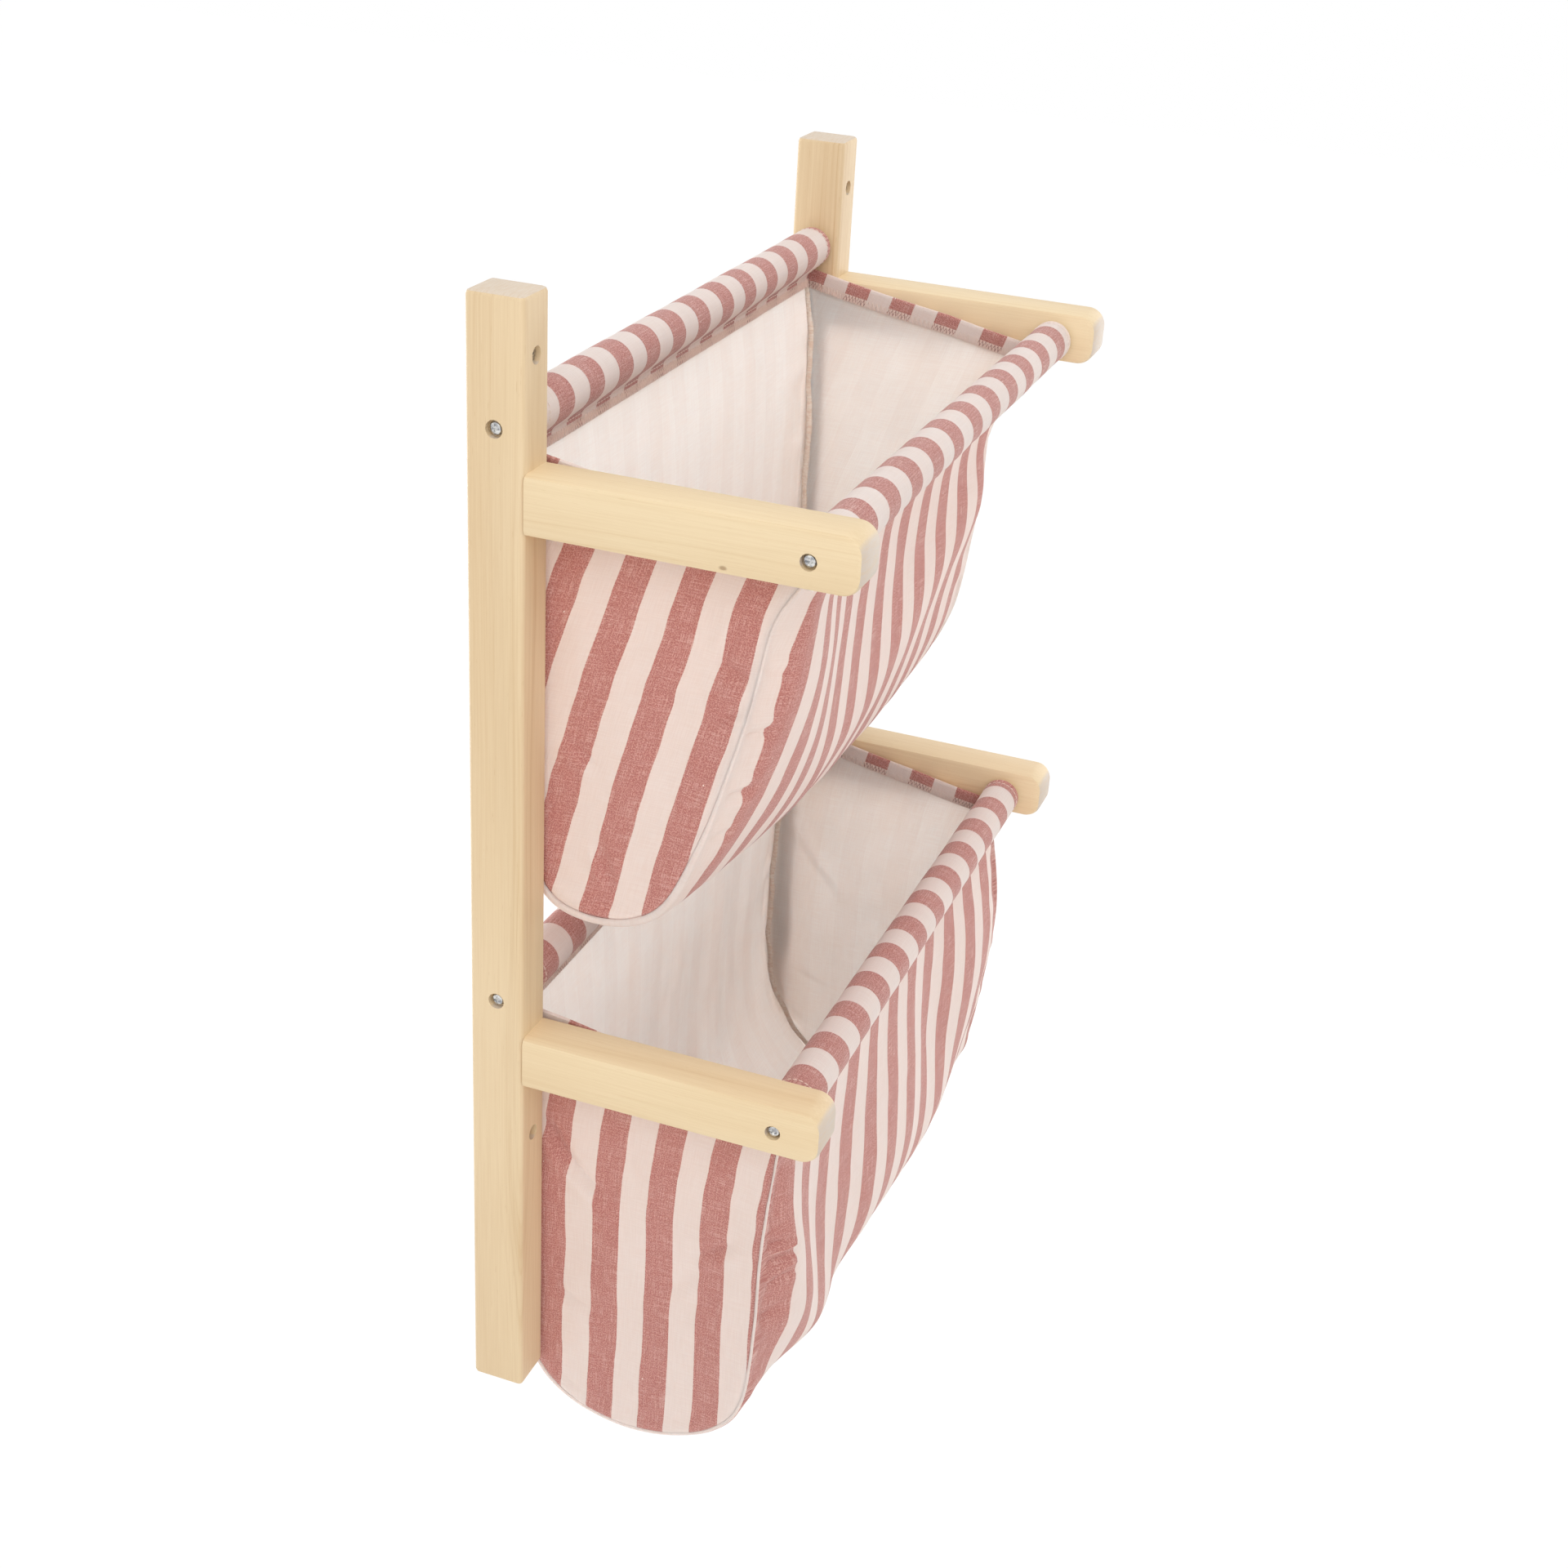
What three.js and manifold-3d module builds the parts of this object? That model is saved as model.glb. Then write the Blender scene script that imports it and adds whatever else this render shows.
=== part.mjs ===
// A wall-hung sling bookshelf for a child's room.
// Two posts carry four arms. Rods run between the posts and between the arm tips,
// and two striped cloth slings hang on the rods by sewn casings.
// Millimetres, +Z up, +X to the viewer's right. The wall is the plane Y = 0 and the shelf stands out to -Y.
// The origin is on the wall plane, midway between the posts, at the height of the upper wall screws.

import * as THREE from 'three';
import { mergeVertices } from 'three/addons/utils/BufferGeometryUtils.js';
import Module from 'manifold-3d';

const wasm = await Module();
wasm.setup();

// Whole shelf
const shelf_width = 480;
const seat_clearance = 0.3;
const cut_overrun = 2;

// Posts
const post_width = 28;
const post_depth = 32;
const post_length = 665;
const post_edge_radius = 3;
const post_end_radius = 2.4;
const post_top_above_wall_screw = 31;

// Arms
const arm_height = 32;
const arm_length = 177;
const arm_tip_radius = 11;
const arm_edge_radius = 3.4;
const upper_arm_below_post_top = 88;
const lower_arm_below_post_top = 416;

// Rods
const rod_diameter = 20;
const rod_end_radius = 1;
const rear_rod_above_arm = 21;
const front_rod_behind_tip = 27;
const front_rod_below_arm_top = 17;

// Screws that hold the rods
const rod_screw_head_diameter = 7.6;
const rod_screw_head_height = 2.6;
const rod_screw_shank_diameter = 4;
const rod_screw_length = 45;
const post_screw_sink_diameter = 9.5;
const arm_screw_sink_diameter = 9;
const screw_sink_depth = 4;
const recess_width = 1.1;
const recess_span = 4.2;
const recess_depth = 1.4;

// Wall screws and their holes
const wall_hole_spacing = 456;
const wall_sink_diameter = 9.3;
const wall_sink_depth = 6;
const wall_screw_head_diameter = 8.4;
const wall_screw_head_height = 3;
const wall_screw_shank_diameter = 4.5;
const wall_screw_length = 25;

// Long screws and dowel pins that hold the arms
const arm_bolt_head_diameter = 9;
const arm_bolt_head_height = 3.2;
const arm_bolt_shank_diameter = 5;
const arm_bolt_length = 60;
const arm_bolt_sink_diameter = 10;
const arm_bolt_sink_depth = 8;
const arm_bolt_below_middle = 7;
const dowel_diameter = 8;
const dowel_length = 40;
const dowel_above_middle = 7;
const dowel_end_chamfer = 1;

// Cloth
const cloth_thickness = 1;
const sling_end_gap = 4;
const casing_slack = 0.7;
const casing_drop = 16;
const hem_tail = 8;
const gusset_rim_width = 6;
const gusset_dent = 5;
const upper_sling_drop = 282;
const lower_sling_drop = 306;
const upper_front_pull_angle = 28;
const lower_front_pull_angle = 12;
const sling_sag = 9;

// Mesh fineness
const edge_steps = 2;
const post_corner_steps = 3;
const arm_tip_steps = 6;
const bore_sides = 16;
const rod_sides = 28;
const screw_sides = 14;
const casing_steps = 9;
const body_steps = 22;
const gusset_columns = 8;

// The cloth hangs in a U from the rear rod to the front rod. Each point is a share of the distance
// between the rods, towards the front, and a share of the sling's drop below the rear rod.
const upper_left_profile_shares = [
  [0.006, 0.30], [0.018, 0.66], [0.036, 0.89], [0.108, 0.975], [0.253, 1.0], [0.41, 0.985],
  [0.53, 0.93], [0.62, 0.81], [0.70, 0.66], [0.783, 0.48], [0.843, 0.31],
];
const upper_right_profile_shares = [
  [0.006, 0.30], [0.012, 0.69], [0.03, 0.92], [0.10, 1.01], [0.265, 1.05], [0.458, 1.03],
  [0.614, 0.95], [0.708, 0.83], [0.753, 0.67], [0.775, 0.50], [0.80, 0.34],
];
const lower_left_profile_shares = [
  [0.006, 0.28], [0.012, 0.61], [0.024, 0.83], [0.09, 0.92], [0.217, 0.975], [0.386, 1.0],
  [0.578, 0.993], [0.759, 0.95], [0.873, 0.87], [0.916, 0.72], [0.93, 0.47],
];
const lower_right_profile_shares = [
  [0.006, 0.28], [0.012, 0.61], [0.024, 0.84], [0.09, 0.94], [0.23, 1.0], [0.42, 1.024],
  [0.62, 1.01], [0.805, 0.95], [0.93, 0.845], [0.99, 0.68], [1.03, 0.42],
];

// Where the panel's columns stand, as shares of its width: closer together near the seams.
const panel_column_shares = [0, 0.03, 0.065, 0.115, 0.19, 0.3, 0.44, 0.6, 0.76, 0.88, 0.95, 1];

// Rolls and hollows of a front panel, as soft mounds. A place is a share of the width and a share of the
// way along the curve of the cloth, from the rear to the front, and a spread is given the same way.
// The lean is how far a mound's middle moves across while the cloth goes on towards the front.
const upper_rolls = [
  { height: 14.5, place_shares: [0.11, 0.85], spread_shares: [0.135, 0.14], lean: -0.6 },
  { height: 8, place_shares: [0.16, 0.71], spread_shares: [0.5, 0.095], lean: 0 },
  { height: 7.5, place_shares: [1.05, 0.86], spread_shares: [0.19, 0.16], lean: 3.3 },
  { height: -3, place_shares: [0.59, 0.87], spread_shares: [0.18, 0.09], lean: -1.5 },
];
const lower_rolls = [
  { height: 13.5, place_shares: [0.1, 0.85], spread_shares: [0.1, 0.185], lean: -1.3 },
  { height: 12, place_shares: [0.485, 0.835], spread_shares: [0.19, 0.08], lean: -0.15 },
  { height: 10, place_shares: [0.79, 0.835], spread_shares: [0.155, 0.135], lean: 0.8 },
  { height: -5.5, place_shares: [0.7, 0.89], spread_shares: [0.1, 0.065], lean: -1.2 },
];

// Where the sag of the bottom starts and ends, as shares of the way along the curve of the cloth,
// and how fast the rolls fade in from a seam, as a share of the width.
const sag_start_share = 0.2;
const sag_end_share = 0.86;
const roll_fade_share = 0.06;

// Screw heads: shares of the head's radius and height, from the underside to the middle of the top.
const dome_head_shares = [[1, 0], [1, 0.4], [0.8, 0.8], [0.45, 0.97], [0, 1]];
const flat_head_shares = [[0.55, 0], [1, 0.7], [1, 1], [0, 1]];

// Derived places
const post_centre_x = (shelf_width - post_width) / 2;
const inner_width = shelf_width - 2 * post_width;
const post_front_y = -post_depth;
const rear_rod_y = -post_depth / 2;
const front_rod_y = post_front_y - arm_length + front_rod_behind_tip;
const rod_radius = rod_diameter / 2;
const sling_half = inner_width / 2 - sling_end_gap;

const levels = [
  {
    name: 'upper',
    arm_top_z: post_top_above_wall_screw - upper_arm_below_post_top,
    drop: upper_sling_drop,
    front_pull_angle: upper_front_pull_angle,
    left_profile_shares: upper_left_profile_shares,
    right_profile_shares: upper_right_profile_shares,
    rolls: upper_rolls,
  },
  {
    name: 'lower',
    arm_top_z: post_top_above_wall_screw - lower_arm_below_post_top,
    drop: lower_sling_drop,
    front_pull_angle: lower_front_pull_angle,
    left_profile_shares: lower_left_profile_shares,
    right_profile_shares: lower_right_profile_shares,
    rolls: lower_rolls,
  },
].map((level) => {
  const arm_middle_z = level.arm_top_z - arm_height / 2;
  return {
    ...level,
    rear_rod_z: level.arm_top_z + rear_rod_above_arm,
    front_rod_z: level.arm_top_z - front_rod_below_arm_top,
    bolt_z: arm_middle_z - arm_bolt_below_middle,
    dowel_z: arm_middle_z + dowel_above_middle,
  };
});

const wood = { color: 0xe8d0aa, roughness: 0.55, metalness: 0 };
const rod_wood = { color: 0xe4c795, roughness: 0.6, metalness: 0 };
const steel = { color: 0xc8c8c6, roughness: 0.28, metalness: 1 };
const striped_cloth = { color: 0xd89f94, roughness: 0.9, metalness: 0 };

// Merges the shared corners of a geometry and drops triangles that have collapsed.
function closed(geometry) {
  const bare = new THREE.BufferGeometry();
  bare.setAttribute('position', geometry.getAttribute('position').clone());
  if (geometry.index) bare.setIndex(geometry.index.clone());
  const merged = mergeVertices(bare);
  const kept = [];
  const index = merged.index.array;
  for (let i = 0; i < index.length; i += 3) {
    const [a, b, c] = [index[i], index[i + 1], index[i + 2]];
    if (a !== b && b !== c && c !== a) kept.push(a, b, c);
  }
  merged.setIndex(kept);
  return merged;
}

function toSolid(geometry) {
  const mesh = closed(geometry);
  return new wasm.Manifold(new wasm.Mesh({
    numProp: 3,
    vertProperties: new Float32Array(mesh.getAttribute('position').array),
    triVerts: new Uint32Array(mesh.index.array),
  }));
}

function toGeometry(solid) {
  const mesh = solid.getMesh();
  const corners = new THREE.BufferAttribute(new Float32Array(mesh.vertProperties), 3);
  const geometry = new THREE.BufferGeometry();
  geometry.setAttribute('position', corners);
  geometry.setIndex(Array.from(mesh.triVerts));
  return geometry;
}

function cut(geometry, tools) {
  let solid = toSolid(geometry);
  for (const tool of tools) solid = solid.subtract(toSolid(tool));
  return toGeometry(solid);
}

// Lays a geometry built along +Z along another axis, by swapping axes exactly.
const along = {
  x: new THREE.Matrix4().set(0, 0, 1, 0, 1, 0, 0, 0, 0, 1, 0, 0, 0, 0, 0, 1),
  minus_x: new THREE.Matrix4().set(0, 0, -1, 0, -1, 0, 0, 0, 0, 1, 0, 0, 0, 0, 0, 1),
  y: new THREE.Matrix4().set(0, 1, 0, 0, 0, 0, 1, 0, 1, 0, 0, 0, 0, 0, 0, 1),
  minus_y: new THREE.Matrix4().set(1, 0, 0, 0, 0, 0, -1, 0, 0, 1, 0, 0, 0, 0, 0, 1),
};

// A profile of [radius, height] points turned round the Z axis. A lathe turns about +Y,
// and the swap that lays +Z along +X also stands +Y up along +Z.
function turned(profile, sides) {
  const points = profile.map(([radius, height]) => new THREE.Vector2(radius, height));
  return new THREE.LatheGeometry(points, sides).applyMatrix4(along.x);
}

// A round cutter from z = 0 down into the wood, with its mouth end overrunning the surface.
function borer(diameter, depth) {
  const radius = diameter / 2;
  return turned([[0, -depth], [radius, -depth], [radius, cut_overrun], [0, cut_overrun]], bore_sides);
}

// A screw's way into the wood: a sink for its head, and a clear hole for its shank.
function screwBore(sink_diameter, sink_depth, shank_diameter, reach, outward, place) {
  const sink = borer(sink_diameter, sink_depth);
  const shaft = borer(shank_diameter + 2 * seat_clearance, reach);
  return [sink, shaft].map((tool) => tool.applyMatrix4(outward).translate(...place));
}

// The hole for one half of a dowel pin.
function pinBore(outward, place) {
  const hole = borer(dowel_diameter + 2 * seat_clearance, dowel_length / 2 + seat_clearance);
  return hole.applyMatrix4(outward).translate(...place);
}

function roundedRectangle(width, height, radius) {
  const [x, y] = [width / 2, height / 2];
  const shape = new THREE.Shape();
  shape.absarc(x - radius, y - radius, radius, 0, Math.PI / 2);
  shape.absarc(radius - x, y - radius, radius, Math.PI / 2, Math.PI);
  shape.absarc(radius - x, radius - y, radius, Math.PI, 1.5 * Math.PI);
  shape.absarc(x - radius, radius - y, radius, 1.5 * Math.PI, 2 * Math.PI);
  return shape;
}

// Extrudes an outline up from z = 0, with rounded rims at both ends and the outline's full size between them.
function easedExtrusion(outline, length, ease, curve_steps) {
  const bar = new THREE.ExtrudeGeometry(outline, {
    depth: length - 2 * ease,
    bevelThickness: ease,
    bevelSize: ease,
    bevelOffset: -ease,
    bevelSegments: edge_steps,
    curveSegments: curve_steps,
  });
  return bar.translate(0, 0, ease);
}

// Posts: a planed bar with rounded edges and ends, bored for the rod screws, the wall screws,
// the arm screws and the dowels.
function post(outer_side) {
  const outline = roundedRectangle(post_width, post_depth, post_edge_radius);
  const bar = easedExtrusion(outline, post_length, post_end_radius, post_corner_steps);
  bar.translate(0, rear_rod_y, post_top_above_wall_screw - post_length);
  const outward = outer_side > 0 ? along.x : along.minus_x;
  const outer_face_x = outer_side * post_width / 2;
  const through_depth = post_depth + cut_overrun;
  const through_width = post_width + cut_overrun;
  const tools = [];
  for (const hole_z of [0, -wall_hole_spacing]) {
    tools.push(...screwBore(
      wall_sink_diameter, wall_sink_depth, wall_screw_shank_diameter, through_depth,
      along.minus_y, [0, post_front_y, hole_z],
    ));
  }
  for (const level of levels) {
    tools.push(...screwBore(
      post_screw_sink_diameter, screw_sink_depth, rod_screw_shank_diameter, through_width,
      outward, [outer_face_x, rear_rod_y, level.rear_rod_z],
    ));
    tools.push(...screwBore(
      arm_bolt_sink_diameter, arm_bolt_sink_depth, arm_bolt_shank_diameter, through_depth,
      along.y, [0, 0, level.bolt_z],
    ));
    tools.push(pinBore(along.minus_y, [0, post_front_y, level.dowel_z]));
  }
  return cut(bar, tools);
}

// Arms: a side profile with two round tip corners, extruded across its width with rounded long edges.
// The butt end is cut square in the plane y = 0, and the top face is at z = 0.
function arm(outer_side) {
  const overlong = arm_edge_radius + cut_overrun;
  const tip_centre_y = arm_tip_radius - arm_length;
  const side = new THREE.Shape();
  side.moveTo(overlong, 0);
  side.lineTo(overlong, -arm_height);
  side.lineTo(tip_centre_y, -arm_height);
  side.absarc(tip_centre_y, arm_tip_radius - arm_height, arm_tip_radius, -Math.PI / 2, -Math.PI, true);
  side.absarc(tip_centre_y, -arm_tip_radius, arm_tip_radius, Math.PI, Math.PI / 2, true);
  const bar = easedExtrusion(side, post_width, arm_edge_radius, arm_tip_steps);
  bar.translate(0, 0, -post_width / 2).applyMatrix4(along.x);
  const end_waste = new THREE.BoxGeometry(2 * post_width, 2 * overlong, 2 * arm_height);
  end_waste.translate(0, overlong, -arm_height / 2);
  const outward = outer_side > 0 ? along.x : along.minus_x;
  const rod_place = [outer_side * post_width / 2, front_rod_behind_tip - arm_length, -front_rod_below_arm_top];
  const bolt_reach = arm_bolt_length + arm_bolt_sink_depth - post_depth;
  const bolt_hole = borer(arm_bolt_shank_diameter + 2 * seat_clearance, bolt_reach);
  bolt_hole.applyMatrix4(along.y).translate(0, 0, -arm_height / 2 - arm_bolt_below_middle);
  return cut(bar, [
    end_waste,
    ...screwBore(
      arm_screw_sink_diameter, screw_sink_depth, rod_screw_shank_diameter, post_width + cut_overrun,
      outward, rod_place,
    ),
    bolt_hole,
    pinBore(along.y, [0, 0, dowel_above_middle - arm_height / 2]),
  ]);
}

// Rods: a round bar with eased ends and a pilot hole in each end, built along X about its middle.
function rod(length) {
  const half = length / 2;
  const eased_radius = rod_radius - rod_end_radius;
  const bar = turned([
    [0, -half], [eased_radius, -half], [rod_radius, rod_end_radius - half],
    [rod_radius, half - rod_end_radius], [eased_radius, half], [0, half],
  ], rod_sides).applyMatrix4(along.x);
  const pilot_depth = rod_screw_length - (post_width - screw_sink_depth);
  const pilots = [along.x, along.minus_x].map((end) => {
    const pilot = borer(rod_screw_shank_diameter + 2 * seat_clearance, pilot_depth);
    return pilot.translate(0, 0, half).applyMatrix4(end);
  });
  return cut(bar, pilots);
}

// Screws: a head with a cross recess on a plain shank with a pointed end.
// The underside of the head is at z = 0, and the shank runs down.
function screw(head_shares, head_diameter, head_height, shank_diameter, length) {
  const head_radius = head_diameter / 2;
  const shank_radius = shank_diameter / 2;
  const shank = [[0, -length], [shank_radius, shank_diameter - length], [shank_radius, 0]];
  const head = head_shares.map(([across, up]) => [across * head_radius, up * head_height]);
  const body = turned([...shank, ...head], screw_sides);
  const recess = [[recess_width, recess_span], [recess_span, recess_width]].map(([wide, long]) => {
    const slot = new THREE.BoxGeometry(wide, long, 2 * recess_depth);
    return slot.translate(0, 0, head_height);
  });
  return cut(body, recess);
}

function dowelPin() {
  const half = dowel_length / 2;
  const radius = dowel_diameter / 2;
  const chamfered_radius = radius - dowel_end_chamfer;
  return turned([
    [0, -half], [chamfered_radius, -half], [radius, dowel_end_chamfer - half],
    [radius, half - dowel_end_chamfer], [chamfered_radius, half], [0, half],
  ], bore_sides);
}

// Joins two matching grids of points, the outside and the inside of a sheet, into one closed body.
function sheet(outside, inside) {
  const last_row = outside.length - 1;
  const last_column = outside[0].length - 1;
  const outer = (row, column) => row * (last_column + 1) + column;
  const inner = (row, column) => outer(last_row + 1 + row, column);
  const index = [];
  const quad = (a, b, c, d) => index.push(a, b, c, a, c, d);
  for (let row = 0; row < last_row; row += 1) {
    for (let column = 0; column < last_column; column += 1) {
      quad(outer(row, column), outer(row, column + 1), outer(row + 1, column + 1), outer(row + 1, column));
      quad(inner(row, column), inner(row + 1, column), inner(row + 1, column + 1), inner(row, column + 1));
    }
    quad(outer(row, 0), outer(row + 1, 0), inner(row + 1, 0), inner(row, 0));
    quad(
      outer(row + 1, last_column), outer(row, last_column),
      inner(row, last_column), inner(row + 1, last_column),
    );
  }
  for (let column = 0; column < last_column; column += 1) {
    quad(outer(0, column + 1), outer(0, column), inner(0, column), inner(0, column + 1));
    quad(
      outer(last_row, column), outer(last_row, column + 1),
      inner(last_row, column + 1), inner(last_row, column),
    );
  }
  const geometry = new THREE.BufferGeometry().setFromPoints([...outside.flat(), ...inside.flat()]);
  geometry.setIndex(index);
  return geometry;
}

const mix = THREE.MathUtils.lerp;

// A casing round a rod, seen from the side as a drop: from the hem's end, up to the stitch line,
// round the rod and back down to the stitch line, where the sling's body starts. Points are (y, z).
function casing(rod_y, rod_z, pull, body_side) {
  const half_step = Math.PI / casing_steps;
  const snug_radius = rod_radius + seat_clearance + casing_slack + cloth_thickness / 2;
  const radius = snug_radius / Math.cos(half_step);
  const centre = new THREE.Vector2(rod_y, rod_z - casing_slack);
  const layer_offset = (cloth_thickness + seat_clearance) / 2;
  const stitch = centre.clone().addScaledVector(pull, radius + casing_drop - rod_radius);
  const opening = Math.acos(radius / stitch.distanceTo(centre));
  const hem = stitch.clone().addScaledVector(body_side, -layer_offset);
  const body = stitch.clone().addScaledVector(body_side, layer_offset);
  const path = [hem.clone().addScaledVector(pull, hem_tail), hem];
  for (let step = 0; step <= casing_steps; step += 1) {
    const angle = -opening - (step / casing_steps) * 2 * (Math.PI - opening);
    path.push(centre.clone()
      .addScaledVector(pull, radius * Math.cos(angle))
      .addScaledVector(body_side, radius * Math.sin(angle)));
  }
  path.push(body, body.clone().addScaledVector(pull, hem_tail));
  return path;
}

// One slice of a sling across its width: the path of the cloth's middle from hem to hem, with its two
// stitch rows. The curve of the body starts one row after the first and ends one row before the last.
function slingSlice(level, across) {
  const lean = THREE.MathUtils.degToRad(level.front_pull_angle);
  const rear_pull = new THREE.Vector2(0, -1);
  const rear_side = new THREE.Vector2(1, 0);
  const front_pull = new THREE.Vector2(Math.sin(lean), -Math.cos(lean));
  const front_side = new THREE.Vector2(front_pull.y, -front_pull.x);
  const rear = casing(rear_rod_y, level.rear_rod_z, rear_pull, rear_side);
  const front = casing(front_rod_y, level.front_rod_z, front_pull, front_side).reverse();
  const knots = level.left_profile_shares.map(([forward, down], i) => {
    const [right_forward, right_down] = level.right_profile_shares[i];
    return new THREE.Vector2(
      mix(rear_rod_y, front_rod_y, mix(forward, right_forward, across)),
      level.rear_rod_z - level.drop * mix(down, right_down, across),
    );
  });
  const body = new THREE.SplineCurve([rear.at(-1), ...knots, front[0]]).getPoints(body_steps);
  return {
    path: [...rear, ...body.slice(1, -1), ...front],
    first: rear.length - 2,
    last: rear.length + body_steps,
  };
}

// How far the cloth stands out of its slice at a place: the sag of the bottom and the rolls of the front.
function standOut(level, across, along_body) {
  const fade = THREE.MathUtils.smoothstep(Math.min(across, 1 - across), 0, roll_fade_share);
  const sag_way = (along_body - sag_start_share) / (sag_end_share - sag_start_share);
  const sagging = Math.sin(Math.PI * THREE.MathUtils.clamp(sag_way, 0, 1)) ** 2;
  let out = sling_sag * Math.sin(Math.PI * across) * sagging;
  for (const { height, place_shares, spread_shares, lean } of level.rolls) {
    const onward = along_body - place_shares[1];
    const sideways = across - place_shares[0] - lean * onward;
    const away = (sideways / spread_shares[0]) ** 2 + (onward / spread_shares[1]) ** 2;
    out += fade * height * Math.exp(-away);
  }
  return out;
}

// The direction out of a grid of points at each of them.
function gridNormals(grid) {
  return grid.map((line, row) => line.map((_, column) => {
    const before = grid[Math.max(row - 1, 0)][column];
    const after = grid[Math.min(row + 1, grid.length - 1)][column];
    const sideways = line[Math.min(column + 1, line.length - 1)].clone().sub(line[Math.max(column - 1, 0)]);
    return sideways.cross(after.clone().sub(before)).normalize();
  }));
}

// The main panel: slices side by side, moved out along the surface by the sag and the rolls,
// then given its thickness.
function panel(level) {
  const slices = panel_column_shares.map((across) => slingSlice(level, across));
  const { first, last } = slices[0];
  const flat = slices[0].path.map((_, row) => panel_column_shares.map((across, column) => {
    const { x: y, y: z } = slices[column].path[row];
    return new THREE.Vector3(mix(-sling_half, sling_half, across), y, z);
  }));
  const flat_normals = gridNormals(flat);
  const middle = flat.map((line, row) => line.map((point, column) => {
    const along_body = (row - first - 1) / (last - first - 2);
    if (along_body <= 0 || along_body >= 1) return point;
    const out = standOut(level, panel_column_shares[column], along_body);
    return point.clone().addScaledVector(flat_normals[row][column], out);
  }));
  const normals = gridNormals(middle);
  const layer = (side) => middle.map((line, row) => line.map((point, column) => (
    point.clone().addScaledVector(normals[row][column], side * cloth_thickness / 2)
  )));
  return sheet(layer(1), layer(-1));
}

// A gusset closes one end of a sling. Its rim follows the panel's edge, and its middle dents inwards.
function gusset(level, side) {
  const { path, first, last } = slingSlice(level, side < 0 ? 0 : 1);
  const rim = path.slice(first, last + 1).map((point, i, points) => {
    const before = points[Math.max(i - 1, 0)];
    const after = points[Math.min(i + 1, points.length - 1)];
    const onward = after.clone().sub(before).normalize();
    const inward = new THREE.Vector2(-onward.y, onward.x);
    return point.clone().addScaledVector(inward, cloth_thickness / 2);
  });
  const rows = Math.floor(rim.length / 2);
  const flat_rows = 2;
  const layer = (x_face) => Array.from({ length: rows }, (_, row) => {
    const [back, front] = [rim[row], rim[rim.length - 1 - row]];
    const rim_share = Math.min(gusset_rim_width / back.distanceTo(front), 1 / gusset_columns);
    const fade = Math.max(0, 1 - row / (rows - flat_rows));
    return Array.from({ length: gusset_columns + 1 }, (__, column) => {
      const inner = THREE.MathUtils.clamp((column - 1) / (gusset_columns - 2), 0, 1);
      const on_edge = column === 0 || column === gusset_columns;
      const share = on_edge ? column / gusset_columns : mix(rim_share, 1 - rim_share, inner);
      const dent = gusset_dent * fade * Math.sin(Math.PI * inner);
      const point = back.clone().lerp(front, share);
      return new THREE.Vector3(side * (x_face - dent), point.x, point.y);
    });
  });
  const inner_face = sling_half + seat_clearance;
  const [outside, inside] = [layer(inner_face + cloth_thickness), layer(inner_face)];
  return side < 0 ? sheet(inside, outside) : sheet(outside, inside);
}

// The shelf
const shelf = new THREE.Group();

function add(parent, name, geometry, finish, position = [0, 0, 0]) {
  const mesh = new THREE.Mesh(closed(geometry), new THREE.MeshStandardMaterial(finish));
  mesh.name = name;
  mesh.position.set(...position);
  parent.add(mesh);
}

function wallScrew() {
  const geometry = screw(
    flat_head_shares, wall_screw_head_diameter, wall_screw_head_height,
    wall_screw_shank_diameter, wall_screw_length,
  );
  return geometry.applyMatrix4(along.minus_y);
}

function armBolt() {
  const geometry = screw(
    flat_head_shares, arm_bolt_head_diameter, arm_bolt_head_height,
    arm_bolt_shank_diameter, arm_bolt_length,
  );
  return geometry.applyMatrix4(along.y);
}

function rodScrew(outer_side) {
  const geometry = screw(
    dome_head_shares, rod_screw_head_diameter, rod_screw_head_height,
    rod_screw_shank_diameter, rod_screw_length,
  );
  return geometry.applyMatrix4(outer_side > 0 ? along.x : along.minus_x);
}

const sides = [{ name: 'left', sign: -1 }, { name: 'right', sign: 1 }];

for (const { name, sign } of sides) {
  const upright = new THREE.Group();
  upright.position.x = sign * post_centre_x;
  const wall_screw_y = post_front_y + wall_sink_depth - seat_clearance;
  const bolt_y = seat_clearance - arm_bolt_sink_depth;
  add(upright, `${name}_post`, post(sign), wood);
  add(upright, `${name}_wall_screw`, wallScrew(), steel, [0, wall_screw_y, 0]);
  for (const level of levels) {
    const pin = dowelPin().applyMatrix4(along.y);
    add(upright, `${level.name}_${name}_arm`, arm(sign), wood, [0, post_front_y, level.arm_top_z]);
    add(upright, `${level.name}_${name}_arm_screw`, armBolt(), steel, [0, bolt_y, level.bolt_z]);
    add(upright, `${level.name}_${name}_dowel`, pin, rod_wood, [0, post_front_y, level.dowel_z]);
  }
  shelf.add(upright);
}

for (const level of levels) {
  const rods = [
    { name: 'rear', y: rear_rod_y, z: level.rear_rod_z },
    { name: 'front', y: front_rod_y, z: level.front_rod_z },
  ];
  for (const { name, y, z } of rods) {
    const rod_name = `${level.name}_${name}_rod`;
    add(shelf, rod_name, rod(inner_width - 2 * seat_clearance), rod_wood, [0, y, z]);
    for (const side of sides) {
      const head_x = side.sign * (shelf_width / 2 - screw_sink_depth + seat_clearance);
      add(shelf, `${rod_name}_${side.name}_screw`, rodScrew(side.sign), steel, [head_x, y, z]);
    }
  }
  add(shelf, `${level.name}_sling_panel`, panel(level), striped_cloth);
  for (const side of sides) {
    add(shelf, `${level.name}_sling_${side.name}_gusset`, gusset(level, side.sign), striped_cloth);
  }
}

export default shelf;
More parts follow.
